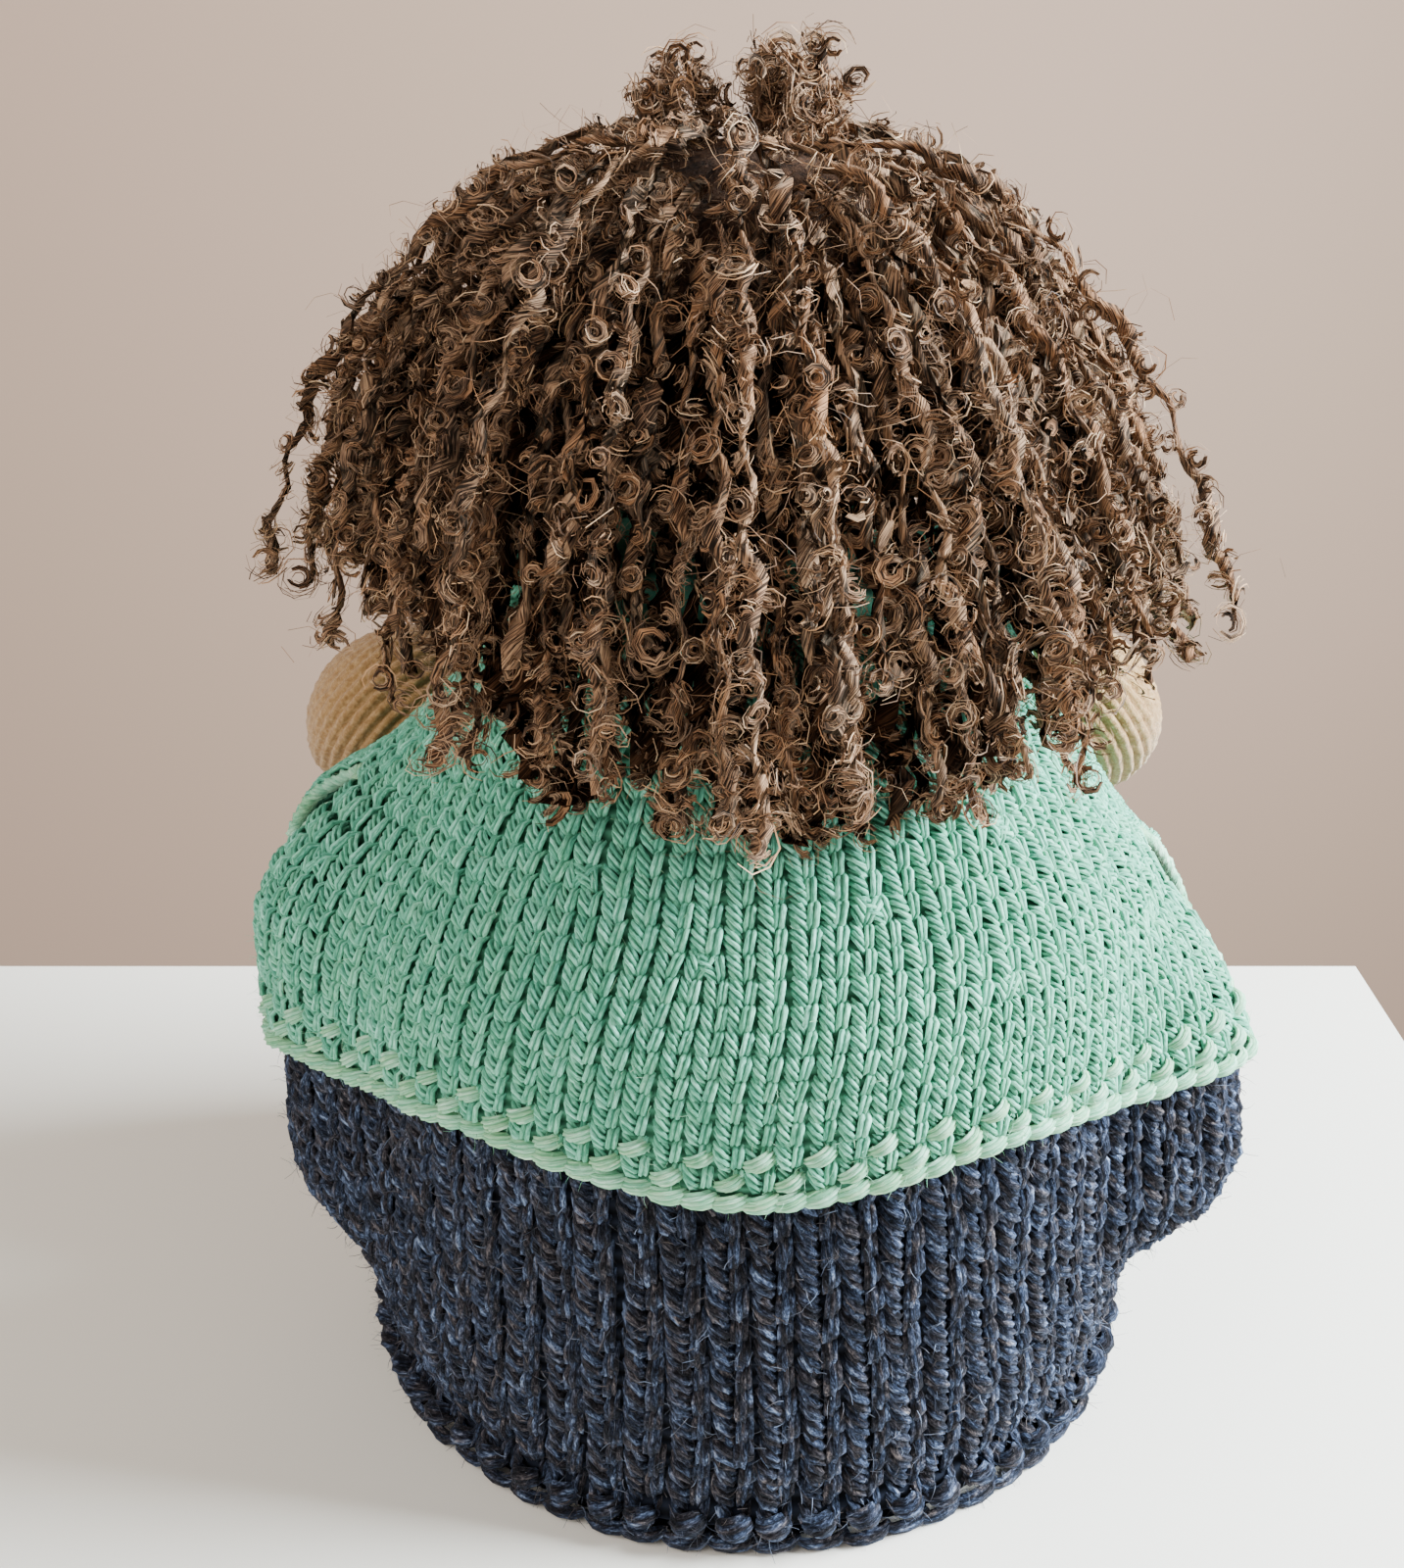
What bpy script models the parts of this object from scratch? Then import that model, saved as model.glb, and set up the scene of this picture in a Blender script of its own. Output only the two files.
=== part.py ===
# A knitted tea cosy that stands on its hem: a navy lower cover, a mint top with a free hem,
# a mop of boucle locks on a dark crown ball, and two stuffed rounds on the front shoulders.
# +Z is up. The spout slit is at +X, the handle slit at -X, and the back is at -Y.
import math
import random
from collections import namedtuple

import bmesh
import bpy
from mathutils import Matrix, Vector
from mathutils.kdtree import KDTree

MM = 0.001

# Cloth, in millimetres
NAVY_THICKNESS = 3.0
MINT_THICKNESS = 2.6
PIECE_GAP = 0.3
LAP_GAP = 0.6
COLUMNS = 26
EDGE_CROWDING = 0.45

# The shared outline of both covers: the navy's outer face, which the mint lies over.
Section = namedtuple("Section", "height half_width half_depth spout_bulge handle_bulge")
SECTIONS = (
    Section(0.0, 64.6, 65.0, 0.0, 0.0),
    Section(2.2, 64.6, 65.0, 0.0, 0.0),
    Section(5.2, 67.0, 67.6, 0.0, 0.0),
    Section(9.0, 65.8, 66.0, 0.0, 0.0),
    Section(16.0, 67.2, 66.4, 0.0, 0.0),
    Section(24.0, 68.8, 66.8, 4.5, 4.0),
    Section(31.0, 69.2, 67.0, 11.5, 8.5),
    Section(41.0, 69.4, 67.0, 15.5, 10.5),
    Section(55.0, 69.4, 67.0, 14.5, 10.5),
    Section(66.0, 69.0, 66.6, 12.5, 10.5),
    Section(77.0, 68.0, 65.4, 8.0, 11.5),
    Section(83.0, 67.0, 64.0, 4.5, 12.5),
    Section(88.0, 65.5, 62.4, 0.5, 12.5),
    Section(95.0, 62.0, 58.0, -2.0, 11.0),
    Section(102.0, 56.6, 53.4, -1.0, 6.5),
    Section(111.0, 50.4, 47.8, 0.0, 2.5),
    Section(120.0, 44.0, 42.6, 0.0, 0.0),
    Section(129.0, 39.2, 38.0, 0.0, 0.0),
    Section(136.0, 36.4, 34.8, 0.0, 0.0),
    Section(139.2, 31.5, 30.0, 0.0, 0.0),
    Section(140.0, 17.0, 16.4, 0.0, 0.0),
)
BULGE_REACH = 25.0
UNEVENNESS = 0.5
WAVES_AROUND = 5.0
WAVE_SLANT = 2.0
HEM_HEIGHT = 9.0

# The two slits, where the panels are left unseamed
Slit = namedtuple("Slit", "bottom top half_angle")
SPOUT_SLIT = Slit(25.0, 91.0, 14.0)
HANDLE_SLIT = Slit(22.0, 103.0, 9.5)

NAVY_ROWS = (0.0, 2.2, 5.2, 9.0, 16.0, 22.0, 25.0, 28.5, 34.0, 41.0, 50.0, 60.0, 68.0, 76.0)
MINT_ROWS = (63.0, 66.0, 71.0, 77.0, 83.0, 87.5, 91.0, 95.0, 99.5, 103.0, 108.0, 114.0, 121.0, 129.0,
             136.0, 139.2, 140.0)
# The mint's hem is uneven: its height at shares of the way from the spout slit to the handle slit
HemPoint = namedtuple("HemPoint", "share height")
MINT_HEM = (HemPoint(0.0, 63.0), HemPoint(0.1, 65.0), HemPoint(0.3, 71.0), HemPoint(0.5, 66.5),
            HemPoint(0.7, 70.5), HemPoint(0.9, 65.5), HemPoint(1.0, 63.0))
MINT_HEM_FADE = 27.0

# The crown ball and its locks, which hang in shells, the outermost rooted nearest the crown
BALL_RADIUS = 32.0
BALL_FLAT = 2.4
CROWN_SHIFT = -3.0
ROOT_INSET = 1.15
LOCK_STEPS = 8
COMB_STEPS = 3
COMB_PASSES = 24
COMB_SMOOTHING = 0.5
LOCK_CLEARANCE = 0.5
LOCK_ROOT = 0.9
LOCK_FULL_STEP = 5
LOCK_THIN = 1.35
LOCK_THICK = 2.05
LOCK_SEED = 11
DEPTH_SHARE = 0.95
Shell = namedtuple("Shell", "root_limit shoulder_out shoulder_up bend_out bend_height tip_out")
SHELLS = (
    Shell(32.0, 11.0, 12.0, 73.5, 186.0, 77.0),
    Shell(47.0, 10.0, 8.5, 67.0, 181.0, 71.0),
    Shell(59.0, 9.0, 6.0, 62.0, 176.0, 66.5),
    Shell(70.0, 8.0, 3.5, 57.0, 170.0, 62.0),
    Shell(80.5, 7.0, 1.0, 52.0, 163.0, 57.5),
)
BEND_SHIFT = -4.5
TIP_SHIFT = -0.5
TIP_HEIGHT_BACK = 122.0
TIP_HEIGHT_HANDLE = 146.0
TIP_HEIGHT_SPOUT = 136.0
TIP_SCATTER = 4.0
TURN_SCATTER = 1.8
Tuft = namedtuple("Tuft", "x y tip_height")
TUFTS = (Tuft(9.0, 0.0, 218.0), Tuft(-10.0, 0.0, 214.0))
TUFT_REACH = 6.2
TUFT_GATHER = 0.25
TUFT_FALL = 0.6

# The two stuffed rounds
ROUND_RADIUS = 18.0
ROUND_HALF_THICKNESS = 15.5
ROUND_TILT = 32.0
Seat = namedtuple("Seat", "angle reach height")
SPOUT_SIDE_SEAT = Seat(40.0, 82.2, 94.0)
HANDLE_SIDE_SEAT = Seat(143.5, 82.3, 94.0)


def remove_everything():
    for obj in list(bpy.data.objects):
        bpy.data.objects.remove(obj, do_unlink=True)


def make_collection(name):
    collection = bpy.data.collections.new(name)
    bpy.context.scene.collection.children.link(collection)
    return collection


def make_material(name, colour, roughness):
    material = bpy.data.materials.new(name)
    material.use_nodes = True
    shader = material.node_tree.nodes["Principled BSDF"]
    shader.inputs["Base Color"].default_value = (*colour, 1.0)
    shader.inputs["Roughness"].default_value = roughness
    shader.inputs["Metallic"].default_value = 0.0
    return material


def add_object(name, mesh, collection, material):
    obj = bpy.data.objects.new(name, mesh)
    collection.objects.link(obj)
    mesh.materials.append(material)
    mesh.shade_smooth()
    return obj


def section_at(height):
    """The outline at one height, by a smooth curve through the rows of SECTIONS."""
    last = len(SECTIONS) - 1
    if height >= SECTIONS[last].height:
        return SECTIONS[last]
    low = max(i for i in range(last) if SECTIONS[i].height <= height)
    a, b = SECTIONS[low], SECTIONS[low + 1]
    t = (height - a.height) / (b.height - a.height)
    ease = t * t * (3.0 - 2.0 * t)
    before, after = SECTIONS[max(low - 1, 0)], SECTIONS[min(low + 2, last)]
    values = []
    for column in range(1, len(a)):
        rise_a = (b[column] - before[column]) / (b.height - before.height) * (b.height - a.height)
        rise_b = (after[column] - a[column]) / (after.height - a.height) * (b.height - a.height)
        hermite = (t ** 3 - 2.0 * t * t + t) * rise_a + (t ** 3 - t * t) * rise_b
        values.append(a[column] * (1.0 - ease) + b[column] * ease + hermite)
    return Section(height, *values)


def slit_half_angle(slit, height):
    share = (height - slit.bottom) / (slit.top - slit.bottom)
    if share <= 0.0 or share >= 1.0:
        return 0.0
    return slit.half_angle * math.sqrt(1.0 - abs(2.0 * share - 1.0) ** 4)


def bulge_share(angle):
    if angle >= BULGE_REACH:
        return 0.0
    return 0.5 + 0.5 * math.cos(math.pi * angle / BULGE_REACH)


def cover_radius(angle, height):
    """Distance of the covers' shared face from the axis, at an angle from the spout side."""
    section = section_at(height)
    turn = math.radians(angle)
    oval = math.hypot(math.cos(turn) / section.half_width, math.sin(turn) / section.half_depth)
    from_spout = angle - slit_half_angle(SPOUT_SLIT, height)
    from_handle = 180.0 - angle - slit_half_angle(HANDLE_SLIT, height)
    bulge = section.spout_bulge * bulge_share(from_spout)
    bulge += section.handle_bulge * bulge_share(from_handle)
    wave = UNEVENNESS * math.sin(math.radians(WAVES_AROUND * angle + WAVE_SLANT * height))
    fade = min(max(height - HEM_HEIGHT, 0.0) / HEM_HEIGHT, 1.0)
    return 1.0 / oval + bulge + wave * math.sin(turn) * fade


def panel_angle(column, height):
    """Angle of one column of a panel; the columns crowd towards the edges of the two slits."""
    start = slit_half_angle(SPOUT_SLIT, height)
    end = 180.0 - slit_half_angle(HANDLE_SLIT, height)
    even = column / COLUMNS
    crowded = 0.5 - 0.5 * math.cos(math.pi * even)
    return start + (end - start) * (even + (crowded - even) * EDGE_CROWDING)


def level(row, column):
    return row


def mint_height(row, column):
    """The rows follow the uneven hem at the bottom and are level higher up."""
    share = column / COLUMNS
    after = next(i for i in range(1, len(MINT_HEM)) if MINT_HEM[i].share >= share)
    a, b = MINT_HEM[after - 1], MINT_HEM[after]
    t = (share - a.share) / (b.share - a.share)
    hem = a.height + (b.height - a.height) * (0.5 - 0.5 * math.cos(math.pi * t))
    fade = max(1.0 - (row - MINT_ROWS[0]) / MINT_HEM_FADE, 0.0)
    return row + (hem - MINT_ROWS[0]) * fade


def panel_shell(name, rows, height_of, outset, closed_top):
    """Two panels, back and front, joined above and below the slits."""
    bm = bmesh.new()
    for side in (-1.0, 1.0):
        grid = []
        for row in rows:
            line = []
            for column in range(COLUMNS + 1):
                height = height_of(row, column)
                angle = panel_angle(column, height)
                reach = (cover_radius(angle, height) + outset) * MM
                turn = math.radians(angle)
                point = (reach * math.cos(turn), side * reach * math.sin(turn), height * MM)
                line.append(bm.verts.new(point))
            grid.append(line)
        for lower, upper in zip(grid, grid[1:]):
            for column in range(COLUMNS):
                quad = [lower[column], lower[column + 1], upper[column + 1], upper[column]]
                bm.faces.new(quad if side > 0.0 else quad[::-1])
    bmesh.ops.remove_doubles(bm, verts=bm.verts, dist=0.01 * MM)
    if closed_top:
        top = max(vert.co.z for vert in bm.verts)
        rim = [edge for edge in bm.edges if edge.is_boundary
               and all(vert.co.z > top - 0.01 * MM for vert in edge.verts)]
        cap = bmesh.ops.edgeloop_fill(bm, edges=rim)["faces"]
        bmesh.ops.poke(bm, faces=cap)
    bmesh.ops.recalc_face_normals(bm, faces=bm.faces)
    mesh = bpy.data.meshes.new(name)
    bm.to_mesh(mesh)
    bm.free()
    return mesh


def add_cloth(name, mesh, thickness, outward, collection, material):
    obj = add_object(name, mesh, collection, material)
    solidify = obj.modifiers.new("cloth_thickness", "SOLIDIFY")
    solidify.thickness = thickness * MM
    solidify.offset = 1.0 if outward else -1.0
    solidify.use_even_offset = False
    return obj


def add_navy_cover(collection, material):
    mesh = panel_shell("navy_cover", NAVY_ROWS, level, 0.0, False)
    return add_cloth("navy_cover", mesh, NAVY_THICKNESS, False, collection, material)


def add_mint_top(collection, material):
    mesh = panel_shell("mint_top", MINT_ROWS, mint_height, LAP_GAP, True)
    return add_cloth("mint_top", mesh, MINT_THICKNESS, True, collection, material)


def tip_height(turn):
    """Where the locks end: lowest at the back and front, higher over the handle and spout."""
    toward_spout = math.cos(turn)
    side_height = TIP_HEIGHT_SPOUT if toward_spout > 0.0 else TIP_HEIGHT_HANDLE
    return TIP_HEIGHT_BACK + (side_height - TIP_HEIGHT_BACK) * toward_spout ** 2


def lock_path(root, shell, turn, rng):
    """A lock leaves its root near the crown, arches outward and hangs."""
    start_out = math.hypot(root.x, root.y)
    turn_end = turn + math.radians(rng.uniform(-1.0, 1.0) * TURN_SCATTER)
    tip = tip_height(turn) + rng.uniform(-1.0, 1.0) * TIP_SCATTER
    stations = (
        (turn, start_out + shell.shoulder_out, root.z + shell.shoulder_up, CROWN_SHIFT),
        (turn_end, shell.bend_out, shell.bend_height, BEND_SHIFT),
        (turn_end, shell.tip_out, tip, TIP_SHIFT),
    )
    controls = [root + Vector((CROWN_SHIFT, 0.0, 0.0))]
    controls += [Vector((math.cos(a) * out + shift, math.sin(a) * out * DEPTH_SHARE, height))
                 for a, out, height, shift in stations]
    points = []
    steps = LOCK_STEPS * COMB_STEPS
    for step in range(steps + 1):
        t = step / steps
        weights = ((1.0 - t) ** 3, 3.0 * t * (1.0 - t) ** 2, 3.0 * t * t * (1.0 - t), t ** 3)
        points.append(sum((w * c for w, c in zip(weights, controls)), Vector()))
    return points


def tuft_path(root, tuft):
    """A tuft's locks stand up from the crown and gather a little, the middle ones tallest."""
    steps = LOCK_STEPS // 2 * COMB_STEPS
    start = root + Vector((CROWN_SHIFT, 0.0, 0.0))
    inward = Vector((tuft.x - root.x, tuft.y - root.y, 0.0))
    rise = tuft.tip_height - TUFT_FALL * inward.length - root.z
    climb = inward * TUFT_GATHER + Vector((0.0, 0.0, rise))
    return [start + climb * (step / steps) for step in range(steps + 1)]


def lock_radius(step):
    """Slim at the root, then thin and thick in turn."""
    body = LOCK_THIN if step % 2 else LOCK_THICK
    return LOCK_ROOT + (body - LOCK_ROOT) * min(step / LOCK_FULL_STEP, 1.0)


def comb_apart(strands, ball_centre):
    """Moves the locks off each other and off the ball a little at a time, and keeps them smooth."""
    for _ in range(COMB_PASSES):
        owners = [(strand, rank) for strand in strands for rank in range(len(strand))]
        tree = KDTree(len(owners))
        for index, (strand, rank) in enumerate(owners):
            tree.insert(strand[rank], index)
        tree.balance()
        moved = []
        for strand, rank in owners:
            point = strand[rank]
            step = rank // COMB_STEPS
            apart = 2.0 * max(lock_radius(step), lock_radius(step + 1)) + LOCK_CLEARANCE
            push = Vector()
            for other, index, distance in tree.find_range(point, apart):
                if owners[index][0] is not strand and distance > 0.0:
                    push += (point - other) * (0.5 * (apart - distance) / distance)
            from_ball = point - ball_centre
            sunk = BALL_RADIUS + 0.5 * apart - from_ball.length
            if sunk > 0.0 and rank > COMB_STEPS:
                push += from_ball.normalized() * sunk
            if 0 < rank < len(strand) - 1:
                push += ((strand[rank - 1] + strand[rank + 1]) / 2.0 - point) * COMB_SMOOTHING
            moved.append(point + push * min(rank / COMB_STEPS, 1.0))
        for (strand, rank), point in zip(owners, moved):
            strand[rank] = point


def grow_lock(bm, face, path):
    """Draws one face out along a path."""
    centre = face.calc_center_median() / MM
    spokes = [(loop.vert.co / MM - centre).normalized() for loop in face.loops]
    heading = face.normal.copy()
    for step, point in enumerate(path):
        ahead = path[min(step + 1, len(path) - 1)]
        behind = path[step - 1] if step else centre
        turned = heading.rotation_difference((ahead - behind).normalized())
        heading = (ahead - behind).normalized()
        spokes = [turned @ spoke for spoke in spokes]
        face = bmesh.ops.extrude_discrete_faces(bm, faces=[face])["faces"][0]
        for loop, spoke in zip(face.loops, spokes):
            loop.vert.co = (point + spoke * lock_radius(step + 1)) * MM


def nearest_tuft(root):
    for tuft in TUFTS:
        if math.hypot(root.x - tuft.x, root.y - tuft.y) < TUFT_REACH:
            return tuft
    return None


def add_hair_mop(collection, material):
    rng = random.Random(LOCK_SEED)
    seat = SECTIONS[-1].height + MINT_THICKNESS + PIECE_GAP
    ball_height = seat - BALL_FLAT + BALL_RADIUS
    ball_place = Matrix.Translation(Vector((CROWN_SHIFT, 0.0, ball_height)) * MM)
    bm = bmesh.new()
    bmesh.ops.create_icosphere(bm, subdivisions=3, radius=BALL_RADIUS * MM, matrix=ball_place)
    for vert in bm.verts:
        vert.co.z = max(vert.co.z, seat * MM)
    lowest_root = ball_height + BALL_RADIUS * math.cos(math.radians(SHELLS[-1].root_limit))
    faces = [face for face in bm.faces if face.calc_center_median().z > lowest_root * MM]
    bmesh.ops.inset_individual(bm, faces=faces, thickness=ROOT_INSET * MM, use_even_offset=True)
    shells = [[] for _ in SHELLS]
    locks = []
    for face in faces:
        root = face.calc_center_median() / MM - Vector((CROWN_SHIFT, 0.0, 0.0))
        tuft = nearest_tuft(root)
        if tuft:
            locks.append((face, tuft_path(root, tuft)))
            continue
        polar = math.degrees(math.acos(min((root.z - ball_height) / BALL_RADIUS, 1.0)))
        order = next(i for i, shell in enumerate(SHELLS) if polar <= shell.root_limit)
        shells[order].append((math.atan2(root.y, root.x), root, face))
    for shell, members in zip(SHELLS, shells):
        members.sort(key=lambda member: member[0])
        spacing = 2.0 * math.pi / len(members)
        first = sum(turn - spacing * rank for rank, (turn, _, _) in enumerate(members)) / len(members)
        for rank, (_, root, face) in enumerate(members):
            locks.append((face, lock_path(root, shell, first + spacing * rank, rng)))
    comb_apart([path for _, path in locks], Vector((CROWN_SHIFT, 0.0, ball_height)))
    for face, path in locks:
        grow_lock(bm, face, path[COMB_STEPS::COMB_STEPS])
    mesh = bpy.data.meshes.new("hair_mop")
    bm.to_mesh(mesh)
    bm.free()
    return add_object("hair_mop", mesh, collection, material)


def add_round(name, seat, collection, material):
    """A stuffed round, flatter along the line from the shoulder it is sewn to."""
    turn = math.radians(seat.angle)
    bm = bmesh.new()
    bmesh.ops.create_uvsphere(bm, u_segments=18, v_segments=12, radius=1.0)
    bmesh.ops.scale(bm, verts=bm.verts,
                    vec=(ROUND_RADIUS * MM, ROUND_RADIUS * MM, ROUND_HALF_THICKNESS * MM))
    mesh = bpy.data.meshes.new(name)
    bm.to_mesh(mesh)
    bm.free()
    obj = add_object(name, mesh, collection, material)
    place = Vector((math.cos(turn) * seat.reach, math.sin(turn) * seat.reach, seat.height))
    lean = Matrix.Rotation(turn, 4, "Z") @ Matrix.Rotation(math.radians(90.0 - ROUND_TILT), 4, "Y")
    obj.matrix_world = Matrix.Translation(place * MM) @ lean
    return obj


def centre_on_origin(objects):
    """Moves the whole cosy so that its box is centred over the origin, hem on the floor."""
    bpy.context.view_layer.update()
    depsgraph = bpy.context.evaluated_depsgraph_get()
    corners = [obj.matrix_world @ vert.co for obj in objects
               for vert in obj.evaluated_get(depsgraph).data.vertices]
    shift = Vector([-(max(c[axis] for c in corners) + min(c[axis] for c in corners)) / 2.0
                    for axis in (0, 1)] + [-min(c.z for c in corners)])
    for obj in objects:
        obj.location += shift
    print("shift_mm", [round(value / MM, 3) for value in shift])


def main():
    remove_everything()
    cosy = make_collection("tea_cosy")
    navy = make_material("navy_wool", (0.024, 0.030, 0.055), 0.95)
    mint = make_material("mint_wool", (0.30, 0.62, 0.44), 0.90)
    brown = make_material("brown_boucle", (0.13, 0.075, 0.045), 0.95)
    peach = make_material("peach_wool", (0.78, 0.58, 0.38), 0.90)
    objects = [
        add_navy_cover(cosy, navy),
        add_mint_top(cosy, mint),
        add_hair_mop(cosy, brown),
        add_round("round_spout_side", SPOUT_SIDE_SEAT, cosy, peach),
        add_round("round_handle_side", HANDLE_SIDE_SEAT, cosy, peach),
    ]
    centre_on_origin(objects)


main()
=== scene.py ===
# A hand-knitted tea cosy: navy lower cover, mint top with a free hem, boucle mop and stuffed rounds.
# The back panel faces the camera. Sizes are in millimetres until a mesh is made.
import math
import random

import bmesh
import bpy
import numpy as np
from mathutils import Matrix, Vector
from mathutils.kdtree import KDTree


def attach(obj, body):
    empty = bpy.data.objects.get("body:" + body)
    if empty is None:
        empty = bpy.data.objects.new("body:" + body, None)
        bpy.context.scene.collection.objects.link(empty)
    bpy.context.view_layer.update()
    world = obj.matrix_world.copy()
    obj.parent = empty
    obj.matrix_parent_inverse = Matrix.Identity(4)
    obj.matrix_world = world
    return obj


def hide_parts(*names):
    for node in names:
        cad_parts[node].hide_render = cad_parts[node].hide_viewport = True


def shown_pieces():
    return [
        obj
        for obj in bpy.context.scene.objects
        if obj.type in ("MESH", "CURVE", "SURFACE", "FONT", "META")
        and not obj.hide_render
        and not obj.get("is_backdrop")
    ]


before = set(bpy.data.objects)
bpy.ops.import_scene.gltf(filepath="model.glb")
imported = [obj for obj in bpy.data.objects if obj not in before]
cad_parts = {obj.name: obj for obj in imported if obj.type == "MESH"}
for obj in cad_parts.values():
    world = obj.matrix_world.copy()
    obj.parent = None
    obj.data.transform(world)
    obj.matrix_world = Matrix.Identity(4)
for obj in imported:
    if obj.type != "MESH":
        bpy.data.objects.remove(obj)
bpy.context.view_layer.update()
mm = 0.001
dice = np.random.default_rng(42)

print("shared outline")
outline = {
    # height, half width, half depth, spout bulge, handle bulge of the navy's outer face
    "sections": np.array((
        (0.0, 64.6, 65.0, 0.0, 0.0), (2.2, 64.6, 65.0, 0.0, 0.0), (5.2, 67.0, 67.6, 0.0, 0.0),
        (9.0, 65.8, 66.0, 0.0, 0.0), (16.0, 67.2, 66.4, 0.0, 0.0), (24.0, 68.8, 66.8, 4.5, 4.0),
        (31.0, 69.2, 67.0, 11.5, 8.5), (41.0, 69.4, 67.0, 15.5, 10.5), (55.0, 69.4, 67.0, 14.5, 10.5),
        (66.0, 69.0, 66.6, 12.5, 10.5), (77.0, 68.0, 65.4, 8.0, 11.5), (83.0, 67.0, 64.0, 4.5, 12.5),
        (88.0, 65.5, 62.4, 0.5, 12.5), (95.0, 62.0, 58.0, -2.0, 11.0), (102.0, 56.6, 53.4, -1.0, 6.5),
        (111.0, 50.4, 47.8, 0.0, 2.5), (120.0, 44.0, 42.6, 0.0, 0.0), (129.0, 39.2, 38.0, 0.0, 0.0),
        (136.0, 36.4, 34.8, 0.0, 0.0), (139.2, 31.5, 30.0, 0.0, 0.0), (140.0, 17.0, 16.4, 0.0, 0.0))),
    "bulgeReach": 25.0, "unevenness": 0.5, "wavesAround": 5.0, "waveSlant": 2.0, "hemHeight": 9.0,
    "spoutSlit": (25.0, 91.0, 14.0), "handleSlit": (22.0, 103.0, 9.5),  # bottom, top, half angle
    "shift": np.array((0.133, -0.011, 0.0)),
}


def sectionAt(height):
    rows = outline["sections"]
    height = np.clip(np.asarray(height, float), 0.0, rows[-1, 0] - 1e-6)
    low = np.clip(np.searchsorted(rows[:, 0], height, side="right") - 1, 0, len(rows) - 2)
    a, b = rows[low], rows[low + 1]
    before, after = rows[np.maximum(low - 1, 0)], rows[np.minimum(low + 2, len(rows) - 1)]
    span = (b - a)[..., :1]
    t = (height - a[..., 0])[..., None] / span
    ease = t * t * (3.0 - 2.0 * t)
    riseA = (b - before) / (b - before)[..., :1] * span
    riseB = (after - a) / (after - a)[..., :1] * span
    bend = (t ** 3 - 2.0 * t * t + t) * riseA + (t ** 3 - t * t) * riseB
    return a * (1.0 - ease) + b * ease + bend


def slitHalfAngle(slit, height):
    bottom, top, halfAngle = slit
    share = np.clip((height - bottom) / (top - bottom), 0.0, 1.0)
    return halfAngle * np.sqrt(np.maximum(1.0 - np.abs(2.0 * share - 1.0) ** 4, 0.0))


def bulgeShare(angle):
    return np.where(angle < outline["bulgeReach"],
                    0.5 + 0.5 * np.cos(np.pi * angle / outline["bulgeReach"]), 0.0)


def coverRadius(angle, height):
    # distance of the covers' shared face from the axis, at an angle from the spout side
    section = sectionAt(height)
    turn = np.radians(angle)
    oval = np.hypot(np.cos(turn) / section[..., 1], np.sin(turn) / section[..., 2])
    fromSpout = angle - slitHalfAngle(outline["spoutSlit"], height)
    fromHandle = 180.0 - angle - slitHalfAngle(outline["handleSlit"], height)
    bulge = section[..., 3] * bulgeShare(fromSpout) + section[..., 4] * bulgeShare(fromHandle)
    wave = outline["unevenness"] * np.sin(
        np.radians(outline["wavesAround"] * angle + outline["waveSlant"] * height))
    fade = np.clip((height - outline["hemHeight"]) / outline["hemHeight"], 0.0, 1.0)
    return 1.0 / oval + bulge + wave * np.sin(turn) * fade


def runAlong(line):
    # the length run at each point of a line
    return np.concatenate(([0.0], np.cumsum(np.linalg.norm(np.diff(line, axis=0), axis=1))))


def readLine(places, run, line):
    return np.stack([np.interp(places, run, line[:, axis]) for axis in range(line.shape[1])], 1)


def arcTable():
    # angle at equal shares of the cloth's length round a panel, for each millimetre of height
    # the slits' ends pull only on the cloth beside them, so the middle follows a smoothed table
    even = np.linspace(0.0, 1.0, 241)
    lengths, angles = [], []
    for height in np.arange(0.0, 141.0):
        start = slitHalfAngle(outline["spoutSlit"], height)
        end = 180.0 - slitHalfAngle(outline["handleSlit"], height)
        here = start + (end - start) * even
        reach = coverRadius(here, np.full_like(here, height))
        run = runAlong(np.stack((reach * np.cos(np.radians(here)), reach * np.sin(np.radians(here))), 1))
        lengths.append(run[-1])
        angles.append(np.interp(even * run[-1], run, here))
    lengths, angles = np.array(lengths), np.array(angles)
    blur, spread, pull = 24, 9.0, 0.28  # reach and width of the smoothing in mm, reach of a slit's pull
    offsets = np.arange(-blur, blur + 1)
    kernel = np.exp(-0.5 * (offsets / spread) ** 2)
    padded = np.pad(angles, ((blur, blur), (0, 0)), mode="edge")
    smooth = sum(k * padded[blur + d:blur + d + len(angles)] for k, d in zip(kernel / kernel.sum(), offsets))
    for end, near in ((0, even), (-1, 1.0 - even)):
        share = np.maximum(1.0 - near / pull, 0.0) ** 2
        smooth = smooth + (angles[:, end, None] - smooth[:, end, None]) * share
    return lengths, smooth


arcLengths, arcAngles = arcTable()


def panelAngle(share, height):
    last = arcAngles.shape[1] - 1
    column = np.clip(share, 0.0, 1.0) * last
    row = np.clip(height, 0.0, len(arcAngles) - 1.001)
    i, j = row.astype(int), np.minimum(column.astype(int), last - 1)
    u, v = row - i, column - j
    lower = arcAngles[i, j] * (1.0 - v) + arcAngles[i, j + 1] * v
    upper = arcAngles[i + 1, j] * (1.0 - v) + arcAngles[i + 1, j + 1] * v
    return lower * (1.0 - u) + upper * u


def clothPoint(side, share, height, outset):
    # a point of the back (-1) or front (1) panel
    share, height, outset = np.broadcast_arrays(share, height, outset)
    angle = panelAngle(share, height)
    reach = coverRadius(angle, height) + outset
    turn = np.radians(angle)
    point = np.stack((reach * np.cos(turn), side * reach * np.sin(turn), height), -1)
    return point + outline["shift"]


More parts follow.
